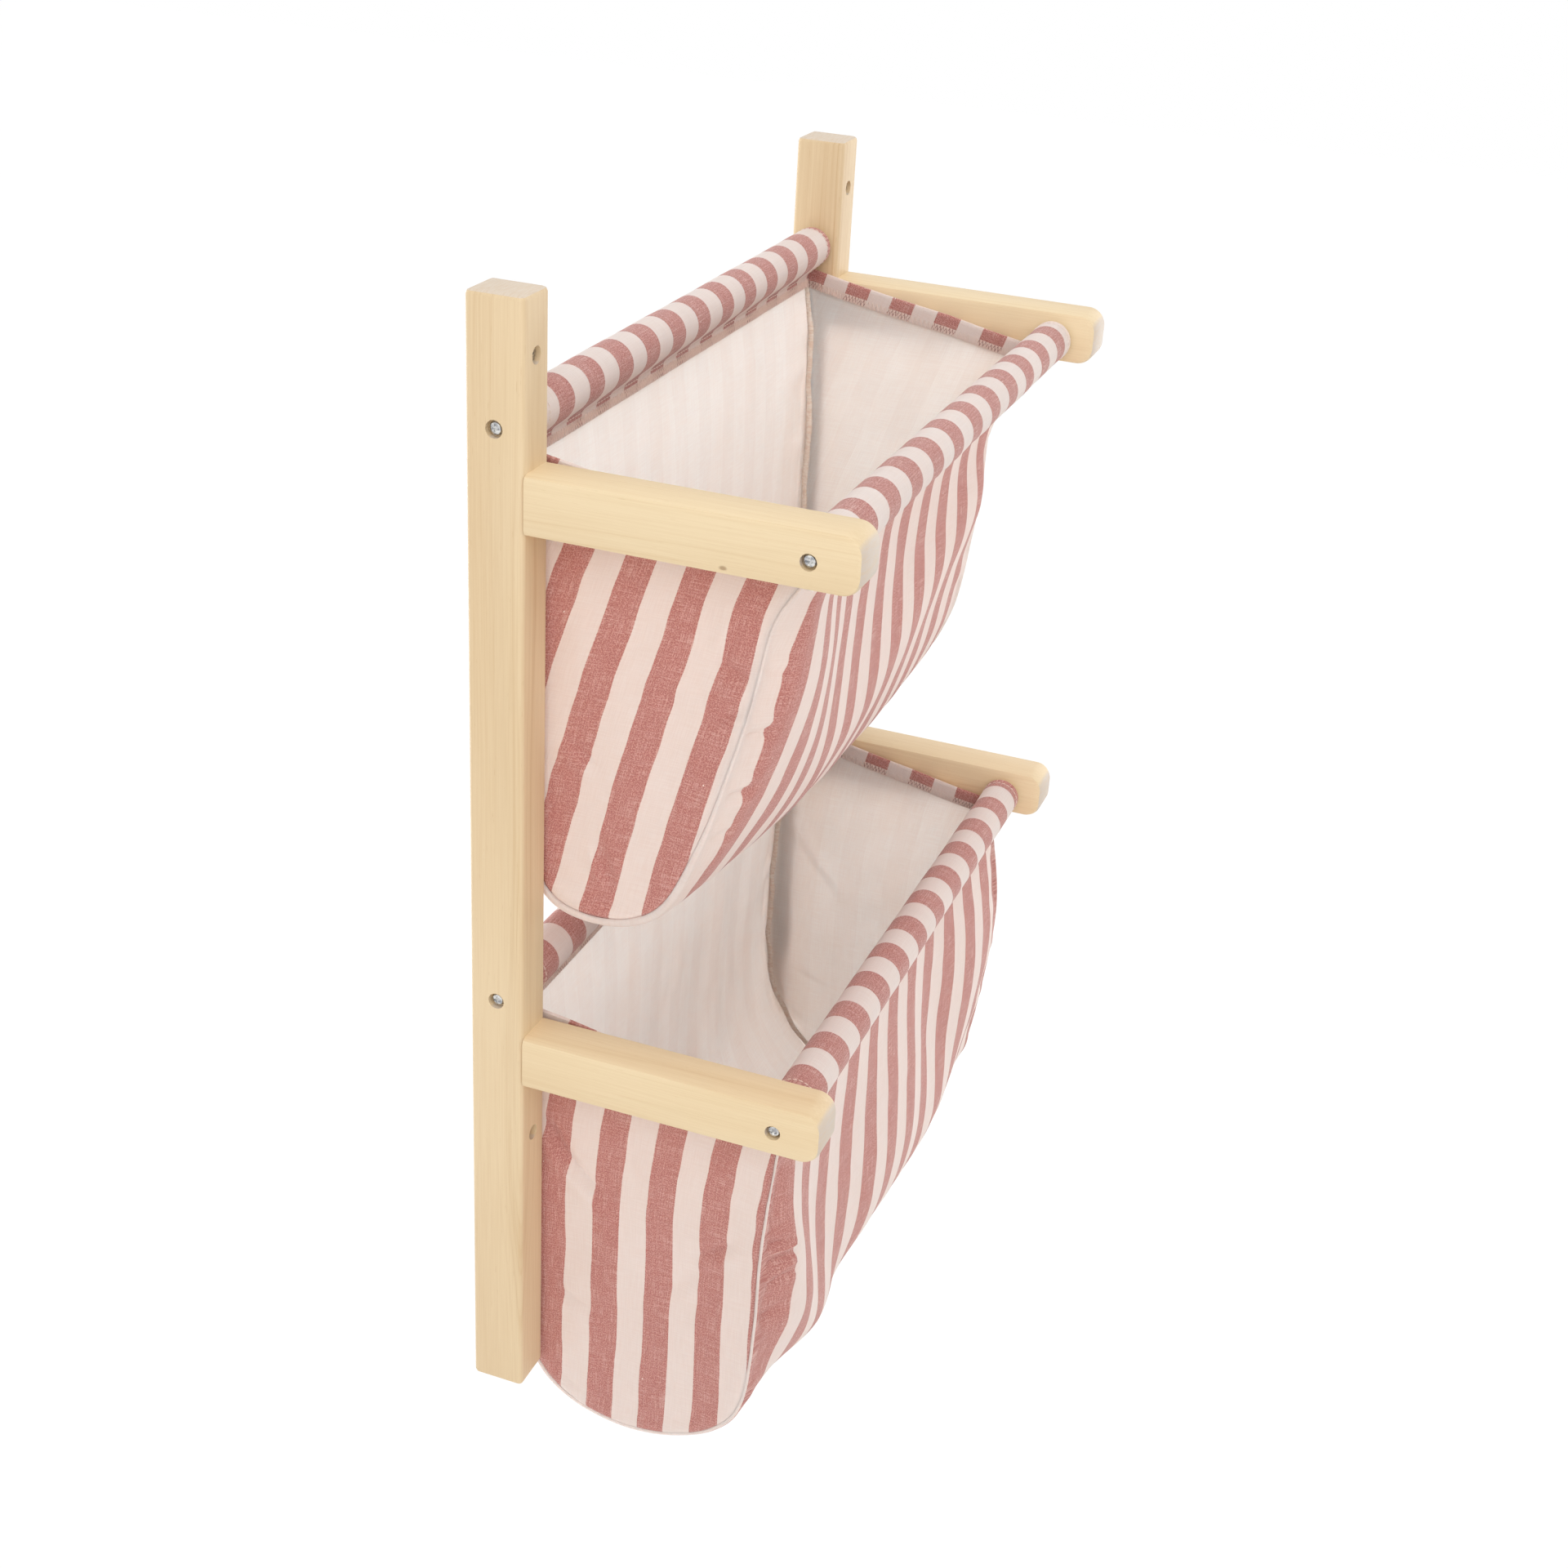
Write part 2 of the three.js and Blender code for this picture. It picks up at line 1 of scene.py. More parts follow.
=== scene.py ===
# %% [markdown]
# # A wall-hung sling bookshelf
# Two wooden posts carry four arms, rods run between them, and two striped cloth slings hang on the rods.
# The solids of the wood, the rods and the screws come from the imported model, and only get their finishes
# here. The cloth is made here as cut and sewn pieces: a long panel with a casing at each end, two end
# pieces, rolled seams, hems and stitches. X runs to the right, Y to the wall and Z up. Cloth is worked out
# in millimetres, and turned into metres when a mesh is made. Materials are in metres.

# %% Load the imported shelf
import math

import bpy
import numpy as np
from mathutils import Matrix, Vector


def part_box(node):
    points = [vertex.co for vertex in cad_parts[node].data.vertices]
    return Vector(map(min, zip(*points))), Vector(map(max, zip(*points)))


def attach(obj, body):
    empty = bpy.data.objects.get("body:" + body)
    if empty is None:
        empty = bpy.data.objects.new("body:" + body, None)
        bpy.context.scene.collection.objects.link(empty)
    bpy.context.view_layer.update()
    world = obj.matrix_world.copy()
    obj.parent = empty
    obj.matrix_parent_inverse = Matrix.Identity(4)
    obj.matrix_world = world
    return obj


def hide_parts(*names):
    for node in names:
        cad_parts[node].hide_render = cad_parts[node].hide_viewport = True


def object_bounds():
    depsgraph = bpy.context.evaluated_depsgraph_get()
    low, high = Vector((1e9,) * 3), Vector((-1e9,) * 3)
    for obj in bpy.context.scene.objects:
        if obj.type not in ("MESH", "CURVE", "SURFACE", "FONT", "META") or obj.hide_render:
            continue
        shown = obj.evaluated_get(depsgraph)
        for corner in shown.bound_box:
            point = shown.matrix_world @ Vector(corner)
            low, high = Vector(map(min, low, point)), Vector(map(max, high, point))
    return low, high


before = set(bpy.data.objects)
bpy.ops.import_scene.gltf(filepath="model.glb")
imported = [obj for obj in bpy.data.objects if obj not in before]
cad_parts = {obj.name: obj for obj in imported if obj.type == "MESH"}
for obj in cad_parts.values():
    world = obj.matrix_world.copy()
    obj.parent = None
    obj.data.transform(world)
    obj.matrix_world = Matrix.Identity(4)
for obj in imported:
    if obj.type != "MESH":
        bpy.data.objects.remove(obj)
cad_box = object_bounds()
MM = 0.001
print("loaded", len(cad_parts), "nodes")

# %% [markdown]
# ## Camera
# The picture is taken from the shelf's left front and a little above it, with a slight roll. A camera can
# be aimed by angles or by a constraint, but a roll is clearer in plain directions: the place and the ways
# to the right and up are written out, and the third way follows from them. There is no shift and no depth
# of field.

# %% Camera
CAMERA_PLACE = (-1179.5, -507.1, 307.7)
CAMERA_RIGHT = (0.3569, -0.93257, 0.05411)
CAMERA_UP = (0.40247, 0.20579, 0.892)
CAMERA_LENS = 51.5
CAMERA_SENSOR = 36

camera_data = bpy.data.cameras.new("camera")
camera_data.lens = CAMERA_LENS
camera_data.sensor_width = CAMERA_SENSOR
camera_data.sensor_fit = "HORIZONTAL"
camera = bpy.data.objects.new("camera", camera_data)
bpy.context.scene.collection.objects.link(camera)
camera_right, camera_up = Vector(CAMERA_RIGHT).normalized(), Vector(CAMERA_UP).normalized()
camera_axes = Matrix((camera_right, camera_up, camera_right.cross(camera_up))).transposed()
camera.matrix_world = Matrix.Translation(Vector(CAMERA_PLACE) * MM) @ camera_axes.to_4x4()
bpy.context.scene.camera = camera
print("camera looks along", [round(x, 3) for x in -camera_axes.col[2]])

# %% [markdown]
# ## Node helpers
# Materials, groups and small modifiers are all made of nodes. Written out in full, each node takes a line
# to make and a line for each link. One helper does both: it adds a node, sets its options and fills its
# inputs, where a value is written on the input, and another node's output is linked to it.

# %% Adding a node
def add_node(tree, kind, options=None, **inputs):
    """Adds a node. An input goes by its name, with underscores for spaces, or by its number, as in i0."""
    made = tree.nodes.new(kind)
    for name, value in (options or {}).items():
        setattr(made, name, value)
    for name, value in inputs.items():
        number = name[1:] if name[0] == "i" and name[1:].isdigit() else None
        target = made.inputs[int(number)] if number else made.inputs[name.replace("_", " ")]
        if isinstance(value, bpy.types.NodeSocket):
            tree.links.new(value, target)
        else:
            target.default_value = value
    return made


print("helper for adding a node")

# %% [markdown]
# A finish is worked out from numbers that change over the surface. Blender has a node for each step of that
# work. These short helpers name the steps that come back in every material: a sum, a smooth range, the
# parts of a place, a stretched place, noise, and the place itself. Stretched noise is longer along one
# axis, as fibres are.

# %% Sums, ranges and noise
def work_out(tree, operation, *values, clamp=False):
    """One arithmetic step between numbers or outputs."""
    options = {"operation": operation, "use_clamp": clamp}
    filled = {f"i{i}": value for i, value in enumerate(values)}
    return add_node(tree, "ShaderNodeMath", options, **filled).outputs[0]


def ramp(tree, value, low, high, to_low=0.0, to_high=1.0):
    """A value taken smoothly from the range low to high onto the range to_low to to_high."""
    made = add_node(tree, "ShaderNodeMapRange", {"interpolation_type": "SMOOTHSTEP"},
                    i0=value, i1=low, i2=high, i3=to_low, i4=to_high)
    return made.outputs[0]


def split(tree, vector):
    """The three parts of a vector."""
    return add_node(tree, "ShaderNodeSeparateXYZ", Vector=vector).outputs


def stretch(tree, vector, scale):
    """Coordinates multiplied by a scale for each axis."""
    return add_node(tree, "ShaderNodeVectorMath", {"operation": "MULTIPLY"}, i0=vector, i1=scale).outputs[0]


def noise(tree, vector, scale, detail=2.0, roughness=0.5):
    """Soft noise between 0 and 1, with about that many patches to the metre along each axis."""
    made = add_node(tree, "ShaderNodeTexNoise", Vector=stretch(tree, vector, scale), Scale=1.0,
                    Detail=detail, Roughness=roughness)
    return made.outputs["Fac"]


def object_place(tree):
    """The place on a piece, in metres. Each piece's own zero is the shelf's."""
    return tree.nodes.new("ShaderNodeTexCoord").outputs["Object"]


print("helpers for sums, ranges, places and noise")

# %% [markdown]
# Colours are written here as a picture shows them, and a shader takes linear numbers, so a helper turns one
# into the other. Small relief could be real geometry, but fibres and yarns are too fine for that. A bump
# bends the light as if they stood out, and leaves the mesh alone.

# %% Colours and relief
def colour(code):
    """A colour written as RRGGBB, as the linear numbers that a shader takes."""
    parts = [int(code[i:i + 2], 16) / 255 for i in (0, 2, 4)]
    linear = [p / 12.92 if p <= 0.04045 else ((p + 0.055) / 1.055) ** 2.4 for p in parts]
    return (*linear, 1.0)


def blend(tree, share, first, second):
    """Two colours mixed: all first where the share is 0, and all second where it is 1."""
    return add_node(tree, "ShaderNodeMix", {"data_type": "RGBA"}, i0=share, i6=first, i7=second).outputs[2]


def raise_relief(tree, shader, height, strength, distance):
    """Small relief from a height, by a bump on the shader's normal."""
    bump = add_node(tree, "ShaderNodeBump", Strength=strength, Distance=distance, Height=height)
    tree.links.new(bump.outputs["Normal"], shader["Normal"])


print("helpers for colours and relief")

# %% [markdown]
# Grain, weave and stripes are each used by more than one finish. Such an effect is a group: its nodes are
# made once, and each material fills the group's inputs with values of its own. The shader itself stays in
# the material, because an exporter can't read it inside a group.

# %% Groups and materials
FLOAT, VECTOR, COLOR = "NodeSocketFloat", "NodeSocketVector", "NodeSocketColor"


def new_group(name, inputs, outputs):
    """A shader node group with named inputs and outputs. Returns its tree, its inputs and its outputs."""
    tree = bpy.data.node_groups.new(name, "ShaderNodeTree")
    for label, kind, value in inputs:
        made = tree.interface.new_socket(label, in_out="INPUT", socket_type=kind)
        if value is not None:
            made.default_value = value
    for label, kind in outputs:
        tree.interface.new_socket(label, in_out="OUTPUT", socket_type=kind)
    return tree, tree.nodes.new("NodeGroupInput").outputs, tree.nodes.new("NodeGroupOutput").inputs


def use_group(tree, group, **inputs):
    """A group placed in a material, with its inputs filled."""
    return add_node(tree, "ShaderNodeGroup", {"node_tree": group}, **inputs).outputs


def new_material(name):
    """A material with a Principled BSDF. Returns it, its tree and the shader's inputs."""
    material = bpy.data.materials.new(name)
    material.use_nodes = True
    tree = material.node_tree
    return material, tree, tree.nodes["Principled BSDF"].inputs


print("helpers for groups and materials")

# %% [markdown]
# ## Wood grain
# Pale planed wood shows faint growth lines that run along the piece, much finer fibres, short dark pores,
# slow clouds of tone, a pin knot here and there, and a streaked face where the grain is cut across, whose
# greyer, paler tone is painted sheen.
# A picture of wood would have to be laid on each piece and would repeat. Noise that is drawn out along one
# axis does neither, so one group makes it all from coordinates whose Z runs along the grain, and posts,
# arms and rods share it.

# %% Wood grain group
wood_grain, g_in, g_out = new_group(
    "wood_grain",
    [("Grain Place", VECTOR, None), ("Grain Facing", FLOAT, 0.0), ("Pale", COLOR, None),
     ("Dark", COLOR, None), ("End Colour", COLOR, None), ("Growth Strength", FLOAT, 0.5)],
    [("Color", COLOR), ("Roughness", FLOAT), ("Height", FLOAT)],
)
t, grain_place = wood_grain, g_in["Grain Place"]
print("group", wood_grain.name)

# %% [markdown]
# Each year leaves a pale band and a thin darker line in the wood. Straight bands of a wave would look drawn
# with a ruler. Here the distance across the grain, counted in growth spacings and bent by a slow drift,
# goes into noise. Its high values make broad soft bands, and a narrow range of them makes thin lines. Both
# fade in places.

# %% Growth lines
GROWTH_SPACING = 0.0034
GROWTH_SLANT = (0.55, 0.83)
GROWTH_ALONG = 0.9
DRIFT_SCALE = (9, 9, 1.6)
DRIFT = 0.05
BAND_RANGE = (0.42, 0.74)
THIN_LINE_RISE, THIN_LINE_FALL = (0.60, 0.63), (0.63, 0.68)
THIN_LINE_STRENGTH = 0.55
FADING_SCALE = (30, 30, 3)
FADING_RANGE, FADED = (0.3, 0.7), 0.35

drift = noise(t, grain_place, DRIFT_SCALE)
parts = split(t, grain_place)
slanted = [work_out(t, "MULTIPLY", parts[axis], GROWTH_SLANT[axis]) for axis in (0, 1)]
across = work_out(t, "ADD", *slanted)
across = work_out(t, "ADD", across, work_out(t, "MULTIPLY", drift, DRIFT))
spacings = work_out(t, "MULTIPLY", across, 1 / GROWTH_SPACING)
drawn_out = work_out(t, "MULTIPLY", parts[2], GROWTH_ALONG)
rings = add_node(t, "ShaderNodeCombineXYZ", i0=spacings, i1=drawn_out).outputs[0]
bands = add_node(t, "ShaderNodeTexNoise", Vector=rings, Scale=1.0, Detail=2.0, Roughness=0.6).outputs["Fac"]
growth = ramp(t, bands, *BAND_RANGE)
rise, fall = ramp(t, bands, *THIN_LINE_RISE), ramp(t, bands, *THIN_LINE_FALL, 1.0, 0.0)
thin_lines = work_out(t, "MULTIPLY", rise, fall)
growth = work_out(t, "MULTIPLY_ADD", thin_lines, THIN_LINE_STRENGTH, growth)
fading = ramp(t, noise(t, grain_place, FADING_SCALE, 1.0), *FADING_RANGE, FADED, 1.0)
growth = work_out(t, "MULTIPLY", growth, fading)
print("growth lines about", GROWTH_SPACING / MM, "mm apart")

# %% [markdown]
# Between the growth lines, planed wood has fine fibres, slow clouds of tone and short dark pores. All three
# are noise, at very different sizes and drawn out along the grain. They are added to the growth lines as
# one tone, which mixes the pale wood with the dark. Fibres and clouds are shifted down, so that they
# lighten as well as darken.

# %% Fibres, clouds and pores
FIBRE_SCALE = (1100, 1100, 16)
CLOUD_SCALE = (16, 16, 3.5)
PORE_SCALE = (1500, 1500, 110)
FIBRE_STRENGTH, FIBRE_SHIFT = 0.7, -0.35
CLOUD_STRENGTH, CLOUD_SHIFT = 1.1, -0.4
PORE_RANGE, PORE_STRENGTH = (0.70, 0.78), 0.35

fibres = noise(t, grain_place, FIBRE_SCALE, 3.0, 0.6)
clouds = noise(t, grain_place, CLOUD_SCALE)
pores = ramp(t, noise(t, grain_place, PORE_SCALE, 1.0), *PORE_RANGE)
tone = work_out(t, "MULTIPLY", growth, g_in["Growth Strength"])
tone = work_out(t, "ADD", tone, work_out(t, "MULTIPLY_ADD", fibres, FIBRE_STRENGTH, FIBRE_SHIFT))
tone = work_out(t, "ADD", tone, work_out(t, "MULTIPLY_ADD", clouds, CLOUD_STRENGTH, CLOUD_SHIFT))
tone = work_out(t, "ADD", tone, work_out(t, "MULTIPLY", pores, PORE_STRENGTH), clamp=True)
long_face = blend(t, tone, g_in["Pale"], g_in["Dark"])
print("fibres, clouds and pores mixed")

# %% [markdown]
# A pin knot is a small brown dot. The cells of a Voronoi pattern have one middle each, far apart, so a
# small ball round each middle makes knots that need no list of places. Where the surface faces along the
# grain, the wood is cut across: it is streaked there instead of lined, and painted greyer and paler, as the
# sheen that post tops and arm tips catch.

# %% Pin knots, and end grain with painted sheen
KNOT_SCALE = 13.0
KNOT_STRETCH = (1, 1, 0.6)
KNOT_CORE, KNOT_EDGE, KNOT_STRENGTH = 0.008, 0.022, 0.6
KNOT_COLOUR = "8A5F38"
STREAK_SCALE, STREAK_RANGE = (130, 900, 60), (0.3, 0.75)
STREAK_STRENGTH = 0.35
END_GRAIN_FROM, END_GRAIN_FULL = 0.72, 0.93

knot_place = stretch(t, grain_place, KNOT_STRETCH)
knot_cells = add_node(t, "ShaderNodeTexVoronoi", Vector=knot_place, Scale=KNOT_SCALE)
knots = ramp(t, knot_cells.outputs["Distance"], KNOT_CORE, KNOT_EDGE, KNOT_STRENGTH, 0.0)
long_face = blend(t, knots, long_face, colour(KNOT_COLOUR))
streaks = ramp(t, noise(t, grain_place, STREAK_SCALE, 3.0, 0.6), *STREAK_RANGE)
# End faces: real end-grain streaks over a greyer, paler colour that is painted sheen.
streaked = blend(t, STREAK_STRENGTH, g_in["End Colour"], g_in["Dark"])
end_grain_and_sheen_face = blend(t, streaks, g_in["End Colour"], streaked)
cut_across = ramp(t, g_in["Grain Facing"], END_GRAIN_FROM, END_GRAIN_FULL)
t.links.new(blend(t, cut_across, long_face, end_grain_and_sheen_face), g_out["Color"])
print("knots and end grain mixed")

# %% [markdown]
# Fibres and pores are felt as well as seen. Where the fibres stand up the wood is rougher, and each pore is
# a small pit. Roughness and height could have noise of their own, but then a pit might lie beside its dark
# spot, so they are worked out from the same fibres and pores as the colour.

# %% Roughness and height of the wood
SMOOTHEST_WOOD, FIBRE_ROUGHNESS = 0.44, 0.22
FIBRE_HEIGHT, PORE_DEPTH = 0.8, 0.6

wood_roughness = work_out(t, "MULTIPLY_ADD", fibres, FIBRE_ROUGHNESS, SMOOTHEST_WOOD)
t.links.new(wood_roughness, g_out["Roughness"])
raised, sunk = work_out(t, "MULTIPLY", fibres, FIBRE_HEIGHT), work_out(t, "MULTIPLY", pores, PORE_DEPTH)
t.links.new(work_out(t, "SUBTRACT", raised, sunk), g_out["Height"])
print(wood_grain.name, "has", len(t.nodes), "nodes")

# %% [markdown]
# ## Woods
# The grain runs up the posts, forwards along the arms and sideways along the rods, because such bars are
# cut from long stock. Each piece could have coordinates of its own, but three wood materials that turn the
# shelf's own ones do the same. How far the surface faces along the grain tells the group where the end
# grain is. The wood has hardly any finish on it, so its coat is weak and dull.

# %% Wood materials
GRAIN_ORDER = {"up": (0, 1, 2), "forwards": (0, 2, 1), "sideways": (2, 1, 0)}
WOOD_COAT, WOOD_COAT_ROUGHNESS = 0.06, 0.35
GRAIN_RELIEF, GRAIN_HEIGHT = 0.35, 0.0002


def wood_material(name, direction, pale, dark, end, growth):
    """Wood with its grain in a given direction, its own colours and its own strength of growth lines."""
    material, tree, shader = new_material(name)
    order = GRAIN_ORDER[direction]
    place = split(tree, object_place(tree))
    facing = split(tree, tree.nodes.new("ShaderNodeNewGeometry").outputs["Normal"])
    axes = {f"i{i}": place[axis] for i, axis in enumerate(order)}
    turned = add_node(tree, "ShaderNodeCombineXYZ", **axes)
    along = work_out(tree, "ABSOLUTE", facing[order[2]])
    made = use_group(tree, wood_grain, Grain_Place=turned.outputs[0], Grain_Facing=along, Pale=colour(pale),
                     Dark=colour(dark), End_Colour=colour(end), Growth_Strength=growth)
    tree.links.new(made["Color"], shader["Base Color"])
    tree.links.new(made["Roughness"], shader["Roughness"])
    raise_relief(tree, shader, made["Height"], GRAIN_RELIEF, GRAIN_HEIGHT)
    shader["Coat Weight"].default_value = WOOD_COAT
    shader["Coat Roughness"].default_value = WOOD_COAT_ROUGHNESS
    return material


# Each wood's third colour is its end grain, painted greyer and paler as sheen on post tops and arm tips.
post_wood = wood_material("post_wood", "up", "E6CEA8", "CDAB7E", "DCCDBB", 0.34)
arm_wood = wood_material("arm_wood", "forwards", "ECD6B0", "D9BA8C", "D3C5B8", 0.24)
rod_wood = wood_material("rod_wood", "sideways", "EBCF9E", "D5B27C", "E2D2B4", 0.35)
print("woods", post_wood.name, arm_wood.name, rod_wood.name)

# %% [markdown]
# ## Screws
# The screws are zinc-plated steel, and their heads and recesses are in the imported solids. A plain metal of
# one roughness would look like a mirror ball. Real plating changes its tone and its polish in small
# patches, and has fine marks, so noise at two sizes makes both.

# %% Screw steel
PATCH_SCALE = (420, 420, 420)
MARK_SCALE = (2600, 2600, 2600)
MARK_RELIEF, MARK_HEIGHT = 0.15, 0.00005
STEEL_DULL, STEEL_BRIGHT = "A3A4A8", "E6E5E2"
STEEL_ROUGHNESS = (0.14, 0.3)

steel, t, shader = new_material("zinc_plated_steel")
place = object_place(t)
patches = noise(t, place, PATCH_SCALE, 3.0)
marks = noise(t, place, MARK_SCALE, 1.0)
steel_tone = blend(t, ramp(t, patches, 0.35, 0.65), colour(STEEL_DULL), colour(STEEL_BRIGHT))
t.links.new(steel_tone, shader["Base Color"])
t.links.new(ramp(t, patches, 0.3, 0.7, *STEEL_ROUGHNESS), shader["Roughness"])
raise_relief(t, shader, marks, MARK_RELIEF, MARK_HEIGHT)
shader["Metallic"].default_value = 1.0
print("material", steel.name)

# %% [markdown]
# ## Smooth edges
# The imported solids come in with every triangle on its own, so they would shade as facets. The corners could
# be welded in the mesh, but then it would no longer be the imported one. A small geometry-nodes modifier does
# it on top: it welds the corners, and keeps an edge sharp only where two faces meet at a steep angle.

# %% Smooth-shading modifier
SHARP_ANGLE = math.radians(32)
WELD_DISTANCE = 0.00001

smooth_by_angle = bpy.data.node_groups.new("smooth_by_angle", "GeometryNodeTree")
for way in ("INPUT", "OUTPUT"):
    smooth_by_angle.interface.new_socket("Geometry", in_out=way, socket_type="NodeSocketGeometry")
smooth_by_angle.is_modifier = True
t = smooth_by_angle
raw = t.nodes.new("NodeGroupInput").outputs[0]
welded = add_node(t, "GeometryNodeMergeByDistance", Geometry=raw, Distance=WELD_DISTANCE).outputs[0]
edge_angle = t.nodes.new("GeometryNodeInputMeshEdgeAngle").outputs["Unsigned Angle"]
steep = add_node(t, "FunctionNodeCompare", {"operation": "GREATER_THAN"}, i0=edge_angle, i1=SHARP_ANGLE)
shaded = add_node(t, "GeometryNodeSetMeshNormal", Mesh=welded, Remove_Custom=True,
                  Edge_Sharpness=steep.outputs[0], Face_Sharpness=False)
t.links.new(shaded.outputs[0], t.nodes.new("NodeGroupOutput").inputs[0])


def soften(piece):
    """Smooth shading with sharp edges kept, as a modifier on a piece."""
    piece.modifiers.new("smooth edges", "NODES").node_group = smooth_by_angle


print("modifier", smooth_by_angle.name)

# %% [markdown]
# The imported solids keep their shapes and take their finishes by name, because a name's last word says what
# the piece is. Posts and arms have woods of their own, screws are steel, and rods and dowels share the
# rods' wood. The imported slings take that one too, but finer cloth replaces them further down.

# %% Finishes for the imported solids
FINISHES = {"screw": steel, "post": post_wood, "arm": arm_wood}

for name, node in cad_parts.items():
    soften(node)
    finish = FINISHES.get(name.split("_")[-1], rod_wood)
    for slot in node.material_slots:
        slot.material = finish
print("finished", len(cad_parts), "solids")

# %% [markdown]
# ## Canvas weave
# The slings are a heavy cotton canvas, whose yarns show as a fine grain. Modelled yarns would be many
# thousands of threads, so the weave is a pattern. Each cloth mesh carries the place on the cut cloth, in
# metres across and along, as an attribute, and so the yarns follow the cloth round every fold. They cross
# as two waves, a little stirred.

# %% Canvas weave group
YARN_SPACING = 0.0006
YARN_STIR_SCALE, YARN_STIR = 420.0, (0.0007, 0.0007, 0.0)

canvas_weave, g_in, g_out = new_group(
    "canvas_weave",
    [("Cut Place", VECTOR, None), ("Yarn Spacing", FLOAT, YARN_SPACING)],
    [("Height", FLOAT), ("Yarns", FLOAT), ("Nubs", FLOAT)],
)
t, cut = canvas_weave, g_in["Cut Place"]
stir = add_node(t, "ShaderNodeTexNoise", Vector=cut, Scale=YARN_STIR_SCALE, Detail=1.0).outputs["Color"]
stirred = add_node(t, "ShaderNodeVectorMath", {"operation": "MULTIPLY_ADD"}, i0=stir, i1=YARN_STIR, i2=cut)
parts = split(t, stirred.outputs[0])
pace = work_out(t, "DIVIDE", math.pi, g_in["Yarn Spacing"])
over, under = (work_out(t, "SINE", work_out(t, "MULTIPLY", parts[axis], pace)) for axis in (0, 1))
crossing = work_out(t, "MULTIPLY_ADD", work_out(t, "MULTIPLY", over, under), 0.5, 0.5)
print("group", canvas_weave.name, "with yarns", YARN_SPACING / MM, "mm apart")

# %% [markdown]
# Yarns aren't all as thick as each other, and some have a slub, which is a short lump that takes the print
# badly and shows as a pale fleck. Noise drawn out along one yarn direction and along the other gives thick
# and thin yarns. Each cell of a Voronoi pattern may hold one fleck, so flecks lie scattered, and fewer than
# half of the cells have one.

# %% Thick yarns and slubs
THICK_ACROSS_SCALE, THICK_ALONG_SCALE = (60, 1500, 1), (1500, 60, 1)
NUB_SCALE = (100, 75, 1)
NUB_CORE, NUB_EDGE = 0.025, 0.05
NUB_RARITY = 0.6
CROSSING_HEIGHT, YARN_HEIGHT = 0.55, 0.9

thick = work_out(t, "ADD", noise(t, cut, THICK_ACROSS_SCALE), noise(t, cut, THICK_ALONG_SCALE))
yarns = work_out(t, "MULTIPLY", thick, 0.5)
high_crossing = work_out(t, "MULTIPLY", crossing, CROSSING_HEIGHT)
height = work_out(t, "ADD", high_crossing, work_out(t, "MULTIPLY", yarns, YARN_HEIGHT))
nub_cells = add_node(t, "ShaderNodeTexVoronoi", Vector=stretch(t, cut, NUB_SCALE), Scale=1.0)
nubs = ramp(t, nub_cells.outputs["Distance"], NUB_CORE, NUB_EDGE, 1.0, 0.0)
chance = split(t, nub_cells.outputs["Color"])[0]
nubs = work_out(t, "MULTIPLY", nubs, work_out(t, "GREATER_THAN", chance, NUB_RARITY))
for label, value in (("Height", height), ("Yarns", yarns), ("Nubs", nubs)):
    t.links.new(value, g_out[label])
print(canvas_weave.name, "has", len(t.nodes), "nodes")

# %% [markdown]
# ## Stripes
# The canvas is printed with dusty rose stripes on pale pink, as wide as the gaps between them. Their edges
# are crisp from afar and slightly ragged close up, because the print follows the yarns. Stripes could be
# strips of faces with a second material, but then the mesh would have to follow them. A group that turns
# the place on the cut cloth into a mask leaves the mesh free, and serves the print and its reverse.

# %% Stripe group
STRIPE_PITCH = 36.4
STRIPE_SHARE = 0.5
RAGGEDNESS = 0.0005
RAGGED_SCALE = (900, 900, 1)
EDGE_SOFTNESS = 0.006

stripes, g_in, g_out = new_group(
    "printed_stripes",
    [("Cut Place", VECTOR, None), ("Pitch", FLOAT, STRIPE_PITCH * MM), ("Share", FLOAT, STRIPE_SHARE),
     ("Raggedness", FLOAT, RAGGEDNESS)],
    [("Mask", FLOAT)],
)
t, cut = stripes, g_in["Cut Place"]
ragged = work_out(t, "SUBTRACT", noise(t, cut, RAGGED_SCALE), 0.5)
ragged = work_out(t, "MULTIPLY", ragged, g_in["Raggedness"])
place = work_out(t, "ADD", split(t, cut)[0], ragged)
pitches = work_out(t, "ADD", work_out(t, "DIVIDE", place, g_in["Pitch"]), 0.5)
off_centre = work_out(t, "ABSOLUTE", work_out(t, "SUBTRACT", work_out(t, "FRACT", pitches), 0.5))
inside = work_out(t, "SUBTRACT", work_out(t, "MULTIPLY", g_in["Share"], 0.5), off_centre)
t.links.new(ramp(t, inside, -EDGE_SOFTNESS, EDGE_SOFTNESS), g_out["Mask"])
print("group", stripes.name, "with stripes", STRIPE_PITCH, "mm apart")

# %% [markdown]
# ## Cloth shading
# Canvas is matt with a slight sheen, and some light comes through it, so the inside of a sling isn't dark.
# A translucent shader does that for a single sheet, but darkens the lit side. These sheets are thin closed
# bodies, so a little scattering below the surface brings the light through. The print and the reverse share
# this shading.

# %% Shared parts of the cloth materials
SOIL_SCALE, SOIL_STRENGTH, SOIL_COLOUR = (9, 9, 9), 0.07, "9C8478"
WEAVE_RELIEF, WEAVE_HEIGHT = 0.5, 0.00035
CLOTH_SHEEN, CLOTH_SHEEN_ROUGHNESS = 0.12, 0.5
CLOTH_SPECULAR = 0.2
CLOTH_SCATTER = (1.0, 0.84, 0.78)
SMOOTHEST_CLOTH, YARN_ROUGHNESS = 0.80, 0.15


